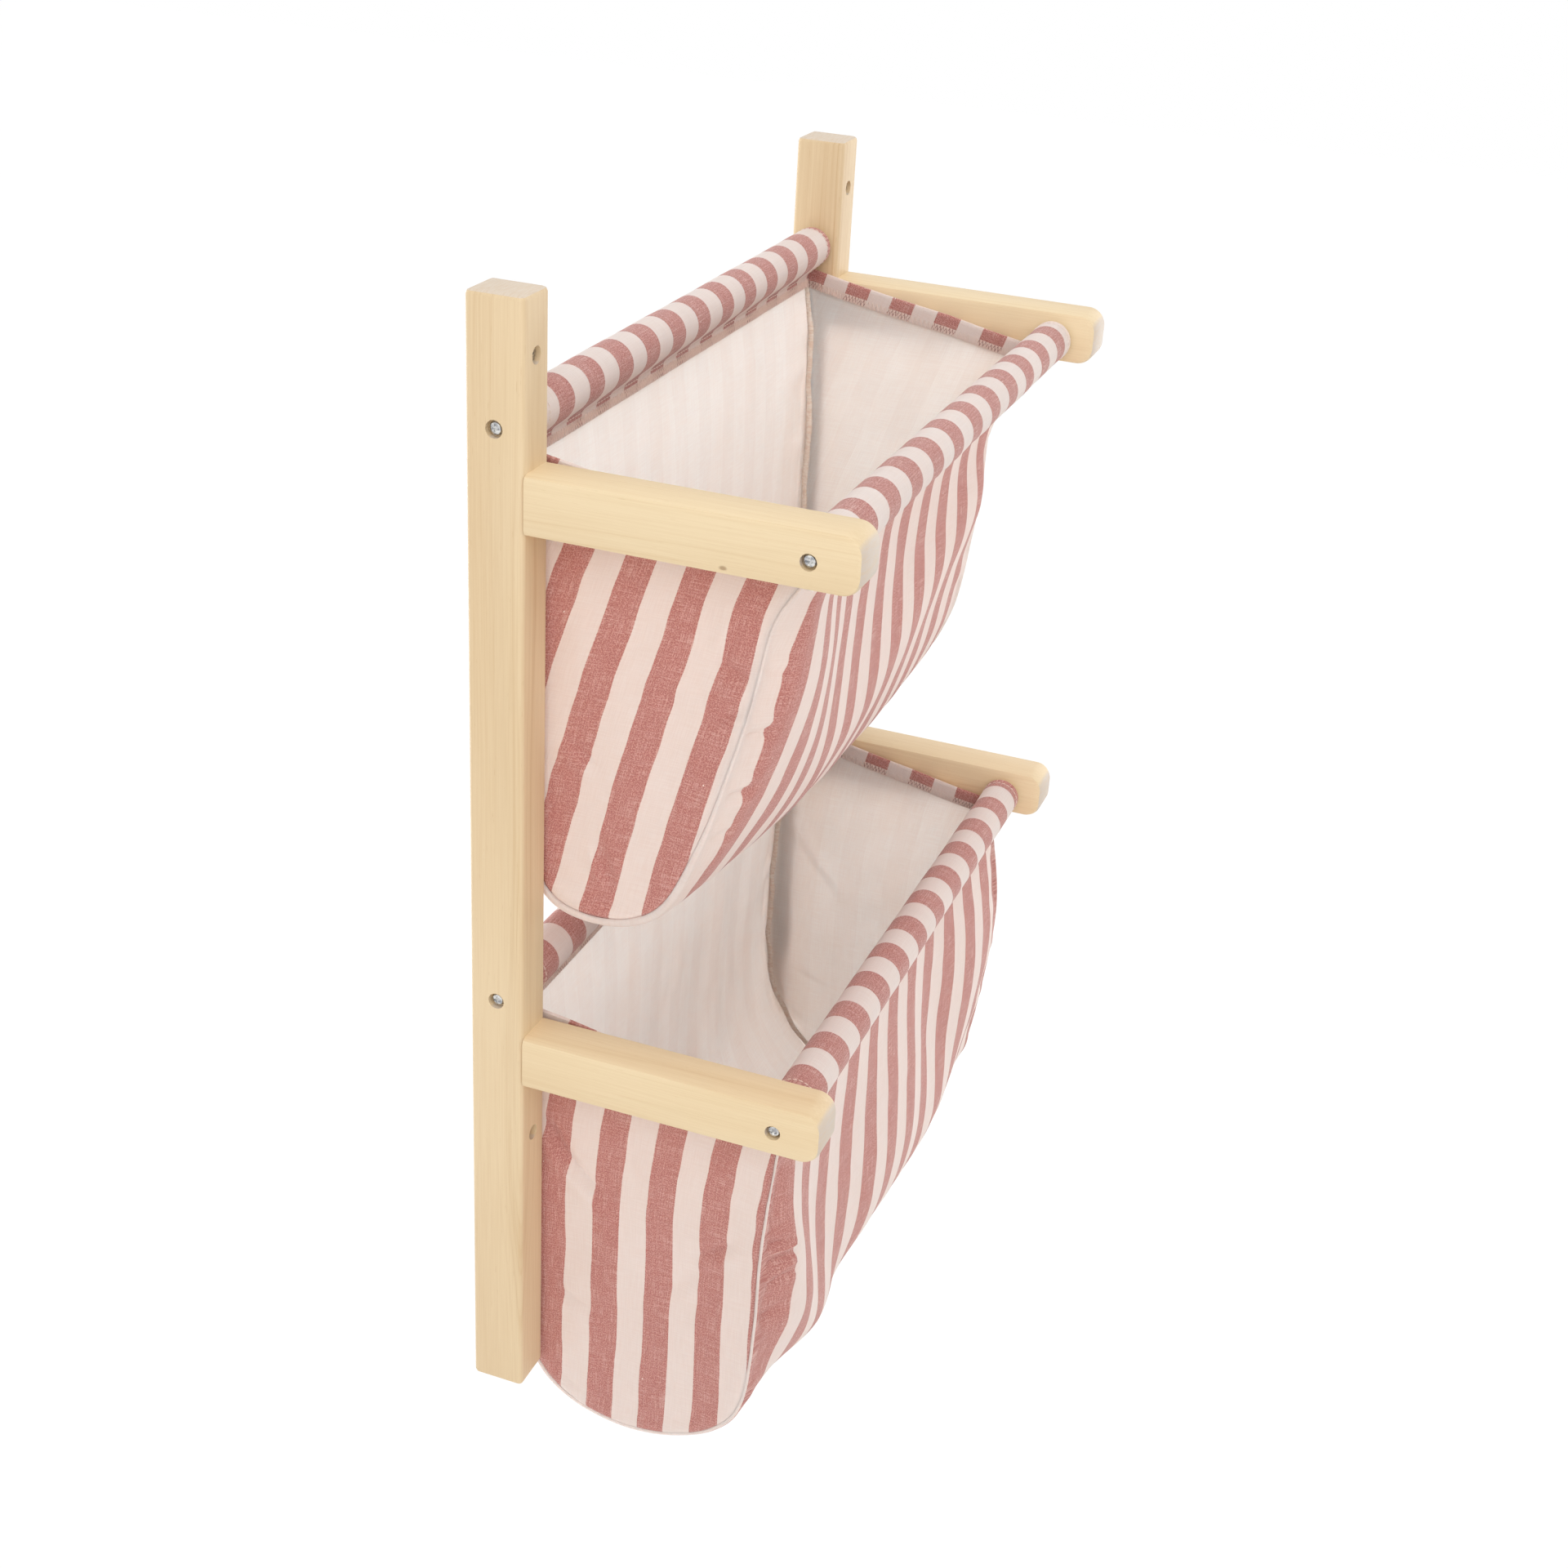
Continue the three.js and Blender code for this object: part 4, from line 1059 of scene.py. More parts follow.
# %% Bare panels
CASING_INSET = 2.4
COLUMN_SPACINGS = ((0, 24, 2.0), (24, 60, 3.0), (60, SLING_HALF, 4.0))
HALF_COLUMNS = np.concatenate([np.arange(*spacing) for spacing in COLUMN_SPACINGS]) / SLING_HALF
ACROSS = np.concatenate([HALF_COLUMNS, [1.0], 2 - HALF_COLUMNS[::-1]]) / 2
STITCH_ROW = CASING_POINTS - 4
CASING_FADE = 14.0


def bare_panel(level):
    """The panel before its relief: its grid, where each point lies, and how far it is body and not casing."""
    shares = level["shares"]
    lines = np.stack([side_line(level, across, shares) for across in ACROSS], axis=1)
    everywhere = np.ones(lines.shape[:2])
    along = np.concatenate([np.zeros(CASING_POINTS - 1), shares, np.ones(CASING_POINTS - 1)])
    along, across = along[:, None] * everywhere, everywhere * ACROSS
    gone = distances(lines[:, len(ACROSS) // 2])
    stitch_rows = (STITCH_ROW, len(lines) - 1 - STITCH_ROW)
    rear, front = gone[stitch_rows[0]], gone[stitch_rows[1]]
    body = smooth_step(gone, rear, rear + CASING_FADE) * (1 - smooth_step(gone, front - CASING_FADE, front))
    x = (2 * across - 1) * (SLING_HALF - CASING_INSET * (1 - body[:, None]))
    grid = np.concatenate([x[:, :, None], lines], axis=2)
    return {"grid": grid, "x": x, "along": along, "across": across, "gone": gone,
            "length": gone[:, None] * everywhere, "body": body, "stitch_rows": stitch_rows}


for level_name, level in LEVELS.items():
    level["panel"] = bare_panel(level)
    print(level_name, "panel has", level["panel"]["x"].shape, "rows and columns")

# %% [markdown]
# The panels' relief is a sum: sag and mounds, puckers at the seams, a few single creases by the left front
# seam, where the photograph shows them, and slow and quick unevenness. The casings have less of it, and
# most of that close to the stitches, which gather them. Each crease has its two places in X and Z, its
# depth and its width.

# %% Relief of the panels
PANEL_PUCKERS, PANEL_PUCKER_REACH = 2.2, 17.0
BODY_SWELL, BODY_RIPPLE = (0.9, (34.0, 95.0)), (0.35, (13.0, 22.0))
CASING_GATHER, GATHER_REACH = (0.45, (9.0, 15.0)), 9.0
CASING_SWELL = (0.22, (26.0, 18.0))
FRONT_FROM, FRONT_FULL = 0.62, 0.72
CREASE_FROM_SEAM, CREASE_FULL = 0.5, 9.0
PANEL_CREASES = {
    "upper": [((-212, -148), (-190, -156), 2.0, 3.2), ((-212, -192), (-184, -186), 2.8, 3.4),
              ((-212, -232), (-182, -222), 3.0, 3.4), ((-212, -262), (-188, -250), 2.4, 3.2)],
    "lower": [((-212, -503), (-186, -512), 2.6, 3.2), ((-212, -521), (-176, -518), 3.4, 3.4),
              ((-212, -540), (-182, -530), 2.8, 3.2), ((-212, -566), (-188, -556), 2.2, 3.4)],
}


def panel_relief(level_name, level, seed):
    """How far each point of a panel stands out of the bare form."""
    panel = level["panel"]
    x, length, gone, body = panel["x"], panel["length"], panel["gone"], panel["body"][:, None]
    from_seam = SLING_HALF - np.abs(x)
    out = stand_out(level, panel["across"], panel["along"]) * body
    out += PANEL_PUCKERS * body * puckers(length, from_seam, PANEL_PUCKER_REACH, seed)
    front = smooth_step(panel["along"], FRONT_FROM, FRONT_FULL) * body
    front = front * smooth_step(from_seam, CREASE_FROM_SEAM, CREASE_FULL)
    out += front * creased(panel["grid"][:, :, [0, 2]], PANEL_CREASES[level_name])
    out += body * (hills(BODY_SWELL, x, length, seed + 5) + hills(BODY_RIPPLE, x, length, seed + 6))
    from_stitch = np.abs(gone[:, None] - gone[list(panel["stitch_rows"])]).min(axis=1)[:, None]
    gather = hills(CASING_GATHER, x, length, seed + 7) * np.exp(-from_stitch / GATHER_REACH)
    return out + (1 - body) * (gather + hills(CASING_SWELL, x, length, seed + 8))


print("panel creases", {name: len(creases) for name, creases in PANEL_CREASES.items()})

# %% [markdown]
# Near an end seam the panel turns round the corner and is sewn to the end piece a little way in, which
# leaves a narrow rolled rim and a fine valley. A bevel would round the corner but leave no valley. One list
# gives the corner's section instead, as steps outwards and, as negative numbers, into the bag. Its size
# changes along the seam.

# %% The rolled rim
CORNER = [(0.9, -0.2), (1.6, -0.75), (2.05, -1.7), (2.2, -2.9), (2.15, -4.0), (1.7, -4.9), (0.9, -5.6)]
RIM_CHANGE_FROM, RIM_CHANGE_TO = 0.60, 0.76


def rim_at(level, share):
    """The size of the rolled rim: one size round the bottom, and another up the front."""
    below, front = level["rim"]
    return below + (front - below) * smooth_step(share, RIM_CHANGE_FROM, RIM_CHANGE_TO)


def corner_columns(rim, grid, body, side):
    """The columns that turn round the corner at one end of the panel, or lie straight in the casings."""
    edge = grid[:, 0] if side < 0 else grid[:, -1]
    before, after = np.roll(edge, 1, axis=0), np.roll(edge, -1, axis=0)
    before[0], after[-1] = edge[0], edge[-1]
    onward = (after - before)[:, 1:]
    onward /= np.linalg.norm(onward, axis=1, keepdims=True)
    normal = np.column_stack([np.zeros(len(edge)), -onward[:, 1], onward[:, 0]])
    columns = []
    for i, (outward, inward) in enumerate(CORNER, 1):
        straight = CASING_INSET * i / len(CORNER)
        point = edge + normal * (rim * inward * body)[:, None]
        point[:, 0] += side * (rim * outward * body + straight * (1 - body))
        columns.append(point)
    return np.stack(columns, axis=1)


print("the rim turns in", len(CORNER), "steps")

# %% [markdown]
# The place on the cut cloth has three parts: across the stripes, along the strip, and how near the bound
# raw edge is. Unwrapping the mesh would give the first two, but with the photograph's stripes nowhere near
# their places. Here a whole number of pitches across is the middle of a rose stripe, and the pitch and the
# first stripe are known at each rod. The stripes stray a little, and the lower sling's rolled rim shows
# them moved by half a pitch.

# %% The panels' place on the cut cloth
BINDING_WIDTH = 4.6
HEM_LEAD = 1.0
CASING_STRAY_SHARE = 0.25


def stripe_place(level, x, along):
    """Where a point lies across the stripes."""
    rear, front = level["rear_print"], level["front_print"]
    first, pitch = (rear[i] * (1 - along) + front[i] * along for i in (0, 1))
    return (x - first) / pitch * STRIPE_PITCH


def panel_cut(level, grid, seed):
    """The place on the cut cloth for each point of a panel."""
    panel = level["panel"]
    length, body = panel["length"], panel["body"][:, None]
    reach = SLING_HALF - level["still_edge"]
    stripe = stripe_place(level, np.clip(grid[:, :, 0], -reach, reach), panel["along"])
    stripe += stray(length, panel["x"], seed) * (CASING_STRAY_SHARE + (1 - CASING_STRAY_SHARE) * body)
    from_hem = np.minimum(length, length[-1] - length)
    bound = np.clip(BINDING_WIDTH + HEM_LEAD - from_hem, 0, BINDING_WIDTH + HEM_LEAD)
    return np.stack([stripe, length, bound], axis=2)


def rim_cut(level, cut, column):
    """The same for the rim's columns, which carry on from one edge of the panel."""
    rim = np.repeat(cut[:, [column]], len(CORNER), axis=1)
    way = -1 if column == 0 else 1
    rim[:, 2:, 0] += way * level["rim_shift"] * STRIPE_PITCH * level["panel"]["body"][:, None]
    return rim


print("hems are bound", BINDING_WIDTH, "mm wide")

# %% [markdown]
# Now each panel comes together: the bare grid is moved out along its own normals by the relief, and gets a
# rim at either end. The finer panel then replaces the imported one. Each sling has its own seed, so their
# folds differ as they do on two things that are sewn one after the other.

# %% Sewing the panels together
def panel_grid(level_name, level, seed):
    """The middle surface of a panel with its rims, and its place on the cut cloth."""
    panel = level["panel"]
    gone, body, (rear, front) = panel["gone"], panel["body"], panel["stitch_rows"]
    relief = panel_relief(level_name, level, seed)[:, :, None]
    grid = panel["grid"] + surface_normals(panel["grid"]) * relief
    rim = rim_at(level, (gone - gone[rear]) / (gone[front] - gone[rear]))
    left, right = (corner_columns(rim, grid, body, side) for side in SIDES.values())
    cut = panel_cut(level, grid, seed + 9)
    left_cut, right_cut = rim_cut(level, cut, 0), rim_cut(level, cut, -1)
    cut = np.concatenate([left_cut[:, ::-1], cut, right_cut], axis=1)
    return np.concatenate([left[:, ::-1], grid, right], axis=1), cut


PANEL_SEED, PANEL_SEED_STEP = 11, 20

for number, (level_name, level) in enumerate(LEVELS.items()):
    seed = PANEL_SEED + PANEL_SEED_STEP * number
    level["grid"], cut = panel_grid(level_name, level, seed)
    piece = cloth_piece(f"{level_name}_sling_cloth", level["grid"], cut)
    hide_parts(f"{level_name}_sling_panel")
    level["cloth"] = piece
    print(piece.name, len(piece.data.polygons), "faces")

# %% [markdown]
# ## The ends of the slings
# An end piece closes each end like the gusset of a bag. Its outline is the panel's side line at that end, a
# little inside the rolled rim, where it is tucked in. A flat fill of that outline would have points only on
# its edge, and nothing to fold. So the piece is a grid: each row runs from the back edge to a place as far
# along the front one.

# %% Outline of an end
END_ROWS, END_COLUMNS = 96, 72
EDGE_POINTS = 420
ROWS_TO_TOP = 0.9
BOTTOM_GAP = 4
ROUND_SHARE = 0.45
TUCK = 3.6


def u_edge(level, side):
    """The side line of the body at one end, from the rear stitches to the front ones."""
    line = side_line(level, 0.0 if side < 0 else 1.0, level["shares"])
    rear, front = level["panel"]["stitch_rows"]
    return resample(line[rear:front + 1], EDGE_POINTS)


def line_ways(line):
    """The way onward at each point of a line in the side view."""
    onward = np.gradient(line, axis=0)
    return onward / np.linalg.norm(onward, axis=1, keepdims=True)


def end_outline(level, side):
    """The outline of an end piece, and the size of the rolled rim along it."""
    edge = u_edge(level, side)
    onward = line_ways(edge)
    rims = rim_at(level, np.linspace(0, 1, len(edge)))
    return edge - np.column_stack([-onward[:, 1], onward[:, 0]]) * (TUCK * rims)[:, None], rims


def end_rows(outline):
    """A flat grid that fills an outline, with its rows' places on the back edge and its columns' shares."""
    picks = np.linspace(0, 1, END_ROWS) ** ROWS_TO_TOP * (len(outline) // 2 - BOTTOM_GAP)
    numbers = np.arange(len(outline))
    back, front = (np.column_stack([np.interp(where, numbers, outline[:, i]) for i in (0, 1)])
                   for where in (picks, numbers[-1] - picks))
    shares = (1 - np.cos(np.linspace(0, np.pi, END_COLUMNS))) / 2 * ROUND_SHARE
    shares = shares + np.linspace(0, 1, END_COLUMNS) * (1 - ROUND_SHARE)
    return back[:, None] * (1 - shares[:, None]) + front[:, None] * shares[:, None], picks, shares


def distance_to(line, places):
    """The distance from each place to a broken line."""
    start, step = line[:-1], np.diff(line, axis=0)
    size = (step ** 2).sum(axis=1)
    best = np.full(len(places), 1e9)
    for s, d, n in zip(start, step, size):
        part = np.clip(((places - s) @ d) / n, 0, 1)
        best = np.minimum(best, np.linalg.norm(places - s - part[:, None] * d, axis=1))
    return best


print("an end has", END_ROWS, "rows and", END_COLUMNS, "columns")

# %% [markdown]
# Beside the seam, an end has a fine valley, then puffs up a little, and its middle dents inwards at the
# top, where nothing holds it. Puckers, slow folds and single creases lie over that, and are calmer on the
# right ends. A scan or a simulation would give one result that can't be changed. A sum of named forms lets
# each be moved or made weaker. Each crease has its two places in Y and Z, its depth and its width.

# %% Relief of the ends
END_PLACE = 208.9
END_OUTERMOST = 0.9
PUFF, PUFF_PLACE, PUFF_WIDTH = 0.9, 5.5, 3.5
VALLEY_PLACE_SHARE, VALLEY_SPARE = 1.6, 0.2
DENT, DENT_REACH = 5.0, 30
END_PUCKERS, END_PUCKER_REACH, PUCKER_PACE = 1.2, 12.0, 1.6
END_FOLDS, END_FOLD_RANGE = (2.0, (26.0, 55.0)), (2, 22)
END_RIPPLES, END_RIPPLE_RANGE = (0.5, (12.0, 17.0)), (2, 10)
END_CREASE_REACH, RIGHT_CREASES_SHARE = 6, 0.4
TOP_CALM = 0.06
END_CREASES = {
    "upper": [((-124, -149), (-147, -158), 2.4, 3.4), ((-118, -188), (-145, -172), 2.6, 3.6),
              ((-40, -209), (-62, -226), 2.4, 3.4), ((-58, -266), (-73, -298), 3.0, 3.6),
              ((-137, -124), (-126, -158), 1.8, 3.2), ((-88, -160), (-112, -190), 1.5, 4.5)],
    "lower": [((-28, -456), (-52, -494), 4.4, 3.8), ((-44, -482), (-70, -510), 3.2, 3.8),
              ((-124, -532), (-156, -508), 2.8, 3.6), ((-34, -576), (-66, -592), 2.0, 4.0),
              ((-108, -564), (-138, -534), 1.8, 4.5), ((-80, -470), (-96, -505), 1.5, 4.5)],
}


def end_relief(level_name, side, flat, inset, rim, down, picks, shares, seed):
    """How far each point of an end lies from the shelf's middle."""
    y, z = flat[:, :, 0], flat[:, :, 1]
    valley = np.exp(-((inset - VALLEY_PLACE_SHARE * rim) / (rim + VALLEY_SPARE)) ** 2)
    puff = PUFF * np.exp(-((inset - PUFF_PLACE) / PUFF_WIDTH) ** 2) - valley
    dent = DENT * (1 - down) * np.sin(np.pi * shares) * smooth_step(inset, 0, DENT_REACH)
    seam_way = picks[:, None] * PUCKER_PACE * np.ones(END_COLUMNS)
    folds = END_PUCKERS * puckers(seam_way, inset, END_PUCKER_REACH, seed)
    folds = folds + smooth_step(inset, *END_FOLD_RANGE) * hills(END_FOLDS, y, z, seed + 2)
    folds = folds + smooth_step(inset, *END_RIPPLE_RANGE) * hills(END_RIPPLES, y, z, seed + 3)
    creases = creased(flat, END_CREASES[level_name]) * smooth_step(inset, 0, END_CREASE_REACH)
    folds = folds + (1.0 if side < 0 else RIGHT_CREASES_SHARE) * creases
    x = END_PLACE + puff - dent + folds * smooth_step(down, 0, TOP_CALM)
    return np.minimum(x, END_PLACE + END_OUTERMOST)


print("end creases", {name: len(creases) for name, creases in END_CREASES.items()})

# %% [markdown]
# The top edge of an end is folded to the inside as a hem, so a striped band shows there from inside the
# bag. The hem could be a strip of its own, but on the real end it is the same cloth. So it is a few rows
# more, from the bound raw edge up to the fold: each has a depth below the top edge and a share of the gap
# between the layers.

# %% The top hem of an end
TOP_HEM = 11.6
TOP_FOLD_GAP = 1.3
BINDING_TOP = TOP_HEM - BINDING_WIDTH
TOP_HEM_ROWS = [(TOP_HEM, 1.0), (BINDING_TOP, 1.05), (BINDING_TOP - 0.4, 1.05),
                (2.0, 1.0), (0.6, 0.92), (-0.5, 0.5)]
TOP_HEM_BOUND = (BINDING_WIDTH + HEM_LEAD, 1.0, 0.6)


def with_top_hem(outer, side):
    """The grid of an end with the rows of its hem before its own."""
    rows = []
    for depth, gap in TOP_HEM_ROWS:
        row = outer[0].copy()
        row[:, 0] -= side * TOP_FOLD_GAP * gap
        row[:, 2] -= depth
        rows.append(row)
    return np.concatenate([np.stack(rows), outer])


print("an end's hem takes", TOP_HEM, "mm")

# %% [markdown]
# Stripes on the ends run down. On the upper sling they lean back to the wall on their way, and on the lower
# one they only bend forwards a little near the top. An end is nearly flat, so the height serves as the
# place along, and the distance from the middle of one stripe gives the place across. In the hem the cloth
# is folded over, and the place along is mirrored at the fold.

# %% The ends' place on the cut cloth
CROWD_HEIGHTS, CROWD_DEPTHS = (-166, -114), (70, 145)
TOP_BEND = 0.001


def end_stripes(level, side, grid):
    """Where each point of an end lies across the stripes."""
    first, pitch, top, slope, bend = level["left_print" if side < 0 else "right_print"]
    y, z = grid[:, :, 1], grid[:, :, 2]
    middle = first + slope * (top - z) + bend * np.maximum(top - z, 0) ** 2
    if side < 0:
        middle = middle + level["crowd"] * smooth_step(z, *CROWD_HEIGHTS) * smooth_step(-y, *CROWD_DEPTHS)
    if slope == 0:
        middle = first - TOP_BEND * np.maximum(z - top, 0) ** 2
    return (middle - y) / pitch * STRIPE_PITCH


def end_cut(level, side, grid, seed):
    """The place on the cut cloth for each point of an end."""
    y, z = grid[:, :, 1], grid[:, :, 2]
    cut = np.stack([end_stripes(level, side, grid) + stray(z, y, seed), z, np.zeros_like(z)], axis=2)
    fold = len(TOP_HEM_ROWS)
    cut[:fold, :, 1] = 2 * z[fold] - z[:fold]
    cut[:len(TOP_HEM_BOUND), :, 2] = np.array(TOP_HEM_BOUND)[:, None]
    return cut


print("the left ends' stripes crowd by", [level["crowd"] for level in LEVELS.values()], "mm")

# %% [markdown]
# All ends are worked out alike, and those on the left are mirrored. Their columns are then turned round, so
# that the printed face still looks out. The right ends' top edges rise a little, more so at the front, as
# in the photograph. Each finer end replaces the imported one.

# %% Sewing the ends in
RISE_PACE, RISE_FADE = 1.6, 6
END_SEED, END_SEED_STEP = 70, 10


def end_grid(level_name, level, side, seed):
    """The middle surface of an end piece, with its top hem."""
    outline, rims = end_outline(level, side)
    flat, picks, shares = end_rows(outline)
    inset = distance_to(outline, flat.reshape(-1, 2)).reshape(flat.shape[:2])
    down = np.linspace(0, 1, END_ROWS)[:, None] * np.ones(END_COLUMNS)
    rear_rise, front_rise = level["right_rise"] if side > 0 else (0.0, 0.0)
    rise = rear_rise + (front_rise - rear_rise) * np.minimum(shares * RISE_PACE, 1)
    flat[:, :, 1] += rise * (1 - down) ** RISE_FADE
    numbers = np.arange(len(rims))
    both_edges = (picks, numbers[-1] - picks)
    rear_rim, front_rim = (np.interp(where, numbers, rims)[:, None] for where in both_edges)
    rim = rear_rim * (1 - shares) + front_rim * shares
    x = end_relief(level_name, side, flat, inset, rim, down, picks, shares, seed)
    return with_top_hem(np.stack([side * x, flat[:, :, 0], flat[:, :, 1]], axis=2), side)


for number, (level_name, level) in enumerate(LEVELS.items()):
    for side_name, side in SIDES.items():
        seed = END_SEED + END_SEED_STEP * number + side
        grid = end_grid(level_name, level, side, seed)
        cut = end_cut(level, side, grid, seed + 6)
        if side < 0:
            grid, cut = grid[:, ::-1], cut[:, ::-1]
        piece = cloth_piece(f"{level_name}_sling_{side_name}_end", grid, cut)
        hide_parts(f"{level_name}_sling_{side_name}_gusset")
        level[f"{side_name}_end"], level[f"{side_name}_end_grid"] = piece, grid
        print(piece.name, len(piece.data.polygons), "faces")

# %% [markdown]
# ## Thread
# Stitches and overlock loops are short pieces of thread that lie on the cloth. Curve objects with a bevel
# would do, but there are many hundreds of stitches, and one mesh of thin tubes for each sling is far
# lighter. Each tube follows its own line of points and is closed at both ends. A second helper finds places
# on the cloth for them.

# %% Tube helper
TUBE_END_SHARE = 0.55


def tube_faces(rings, sides, start):
    """Faces between rings of points, and one face at each end. The first point has the number start."""
    index = start + np.arange(rings * sides).reshape(rings, sides)
    after = np.roll(index, -1, axis=1)
    walls = np.stack([index[:-1], after[:-1], after[1:], index[1:]], axis=-1)
    return walls.reshape(-1, 4).tolist() + [index[0][::-1].tolist(), index[-1].tolist()]


def tubes(name, lines, radius, sides):
    """Thin tubes along lines of points, closed at both ends, in one mesh."""
    points, faces = [], []
    turn = np.arange(sides) * 2 * math.pi / sides
    for line in lines:
        line = np.asarray(line)
        ahead = np.gradient(line, axis=0)
        ahead /= np.maximum(np.linalg.norm(ahead, axis=1, keepdims=True), 1e-9)
        helper = np.where(np.abs(ahead[:, :1]) > 0.8, [[0.0, 1.0, 0.0]], [[1.0, 0.0, 0.0]])
        first = np.cross(ahead, helper)
        first /= np.linalg.norm(first, axis=1, keepdims=True)
        second = np.cross(ahead, first)
        sizes = np.full(len(line), radius)
        sizes[[0, -1]] *= TUBE_END_SHARE
        ring = first[:, None] * np.cos(turn)[:, None] + second[:, None] * np.sin(turn)[:, None]
        faces.extend(tube_faces(len(line), sides, len(points)))
        points.extend((line[:, None] + sizes[:, None, None] * ring).reshape(-1, 3).tolist())
    return link_mesh(name, points, faces, [thread])


def on_row(grid, normals, row, x, lift):
    """Points above the printed face along a row, or between two rows, at the given places across."""
    low = int(math.floor(row))
    part = row - low
    line = grid[low] * (1 - part) + grid[min(low + 1, len(grid) - 1)] * part
    order = np.argsort(line[:, 0])
    spots, ways = (np.stack([np.interp(x, line[order, 0], values[order, i]) for i in range(3)], axis=-1)
                   for values in (line, normals[low]))
    return spots + lift * ways


print("helpers for thread")

# %% [markdown]
# Four rows of small stitches close each sling's casings and hold its hems. A stitch touches the cloth at
# both ends and stands a little proud between them. At the casings' open ends, short overlock loops run
# round the edge. A bump could fake them, but a stitch that stands up catches the light and casts a shadow,
# which is what makes it look sewn.

# %% Stitches
STITCH_LENGTH, STITCH_SPACING = 2.7, 3.5
STITCH_RADIUS, STITCH_SIDES = 0.28, 5
STITCH_PLACES = np.array([-0.5, -0.25, 0.25, 0.5])
STITCH_LIFT = 0.16
HEM_STITCH_ROW = 3.5
SEAM_MARGIN = 6
LOOP_START_ROW, LOOP_STEP, LOOP_MARGIN = 4.0, 1.6, 1.2
LOOP_SHAPE = ((0.0, 0.0), (0.35, 0.14), (0.85, 0.14), (1.2, 0.0))
LOOP_INSET = 5.0


def stitch_row(grid, normals, row):
    """One row of stitches across a panel."""
    lines = []
    for middle in np.arange(-SLING_HALF + SEAM_MARGIN, SLING_HALF - SEAM_MARGIN + 1, STITCH_SPACING):
        x = middle + STITCH_LENGTH * STITCH_PLACES
        lift = CLOTH_THICKNESS / 2 + STITCH_LIFT * np.array([0, 1, 1, 0])[:, None]
        lines.append(on_row(grid, normals, row, x, lift))
    return lines


def overlock_loops(grid, normals, x, start, stop):
    """Short loops over the hemmed end of a casing, from one row to another."""
    lines = []
    for row in np.arange(start + LOOP_MARGIN, stop - LOOP_STEP, LOOP_STEP):
        lines.append([on_row(grid, normals, row + step, np.array([x]), CLOTH_THICKNESS / 2 + lift)[0]
                      for step, lift in LOOP_SHAPE])
    return lines


for level_name, level in LEVELS.items():
    grid, (rear_row, front_row) = level["grid"], level["panel"]["stitch_rows"]
    normals, top = surface_normals(grid), len(grid) - 1
    lines = []
    for row in (HEM_STITCH_ROW, rear_row, front_row, top - HEM_STITCH_ROW):
        lines.extend(stitch_row(grid, normals, row))
    for x in (-SLING_HALF + LOOP_INSET, SLING_HALF - LOOP_INSET):
        for start, stop in ((LOOP_START_ROW, rear_row), (front_row, top - LOOP_START_ROW)):
            lines.extend(overlock_loops(grid, normals, x, start, stop))
    stitching = tubes(f"{level_name}_sling_stitches", lines, STITCH_RADIUS, STITCH_SIDES)
    level["threads"] = [stitching]
    print(stitching.name, len(lines), "stitches")

# %% [markdown]
# ## Bound hems
# An overlock machine binds a raw edge with a zigzag of thread and one thread along the edge. Both are tubes
# again, because a hem is seen close, inside each bag. On the panels, the zigzag's points stray a little, by
# fixed random numbers, so that it doesn't look like a saw.

# %% Bound hems
BINDING_STEP = 1.3
BINDING_RADIUS, BINDING_SIDES = 0.4, 5
BINDING_LIFT = CLOTH_THICKNESS / 2 + 0.12
BINDING_EDGE_ROWS, BINDING_STRAY_ROWS, BINDING_SEED = 0.05, 0.12, 5
BINDING_MARGIN, BINDING_LAST = 1.5, 0.1
BINDING_SPAN = (0.02, 0.98)


def panel_binding(level, first, way):
    """The zigzag and the edge thread at one hem of a panel, whose first row and way inwards are given."""
    grid, gone = level["grid"], level["panel"]["gone"]
    normals = surface_normals(grid)
    last = SLING_HALF - BINDING_MARGIN + BINDING_LAST
    x = np.arange(-SLING_HALF + BINDING_MARGIN, last, BINDING_STEP)
    band = BINDING_WIDTH / (gone[1] - gone[0])
    rows = first + way * np.where(np.arange(len(x)) % 2 == 0, BINDING_EDGE_ROWS, band)
    rows = rows + way * np.random.RandomState(BINDING_SEED).uniform(0, BINDING_STRAY_ROWS, len(x))
    zigzag = [on_row(grid, normals, row, np.array([spot]), BINDING_LIFT)[0] for row, spot in zip(rows, x)]
    return [np.array(zigzag), on_row(grid, normals, first, x, 0.0)]


def end_binding(grid):
    """The zigzag and the edge thread at the top hem of an end."""
    edge, inner = grid[0], grid[1]
    share = BINDING_WIDTH / np.linalg.norm(inner - edge, axis=1).mean()
    count = int(distances(edge)[-1] / BINDING_STEP)
    spots, numbers = np.linspace(*BINDING_SPAN, count) * (len(edge) - 1), np.arange(len(edge))
    lines = (edge, edge * (1 - share) + inner * share, surface_normals(grid)[0])
    low, high, normal = (np.column_stack([np.interp(spots, numbers, line[:, i]) for i in range(3)])
                         for line in lines)
    even = (np.arange(count) % 2 == 0)[:, None]
    return [np.where(even, low, high) + normal * BINDING_LIFT, low]


for level_name, level in LEVELS.items():
    lines = panel_binding(level, 0.0, 1) + panel_binding(level, len(level["grid"]) - 1.0, -1)
    for side_name in SIDES:
        lines.extend(end_binding(level[f"{side_name}_end_grid"]))
    binding = tubes(f"{level_name}_sling_binding", lines, BINDING_RADIUS, BINDING_SIDES)
    level["threads"].append(binding)
    print(binding.name, len(binding.data.polygons), "faces")

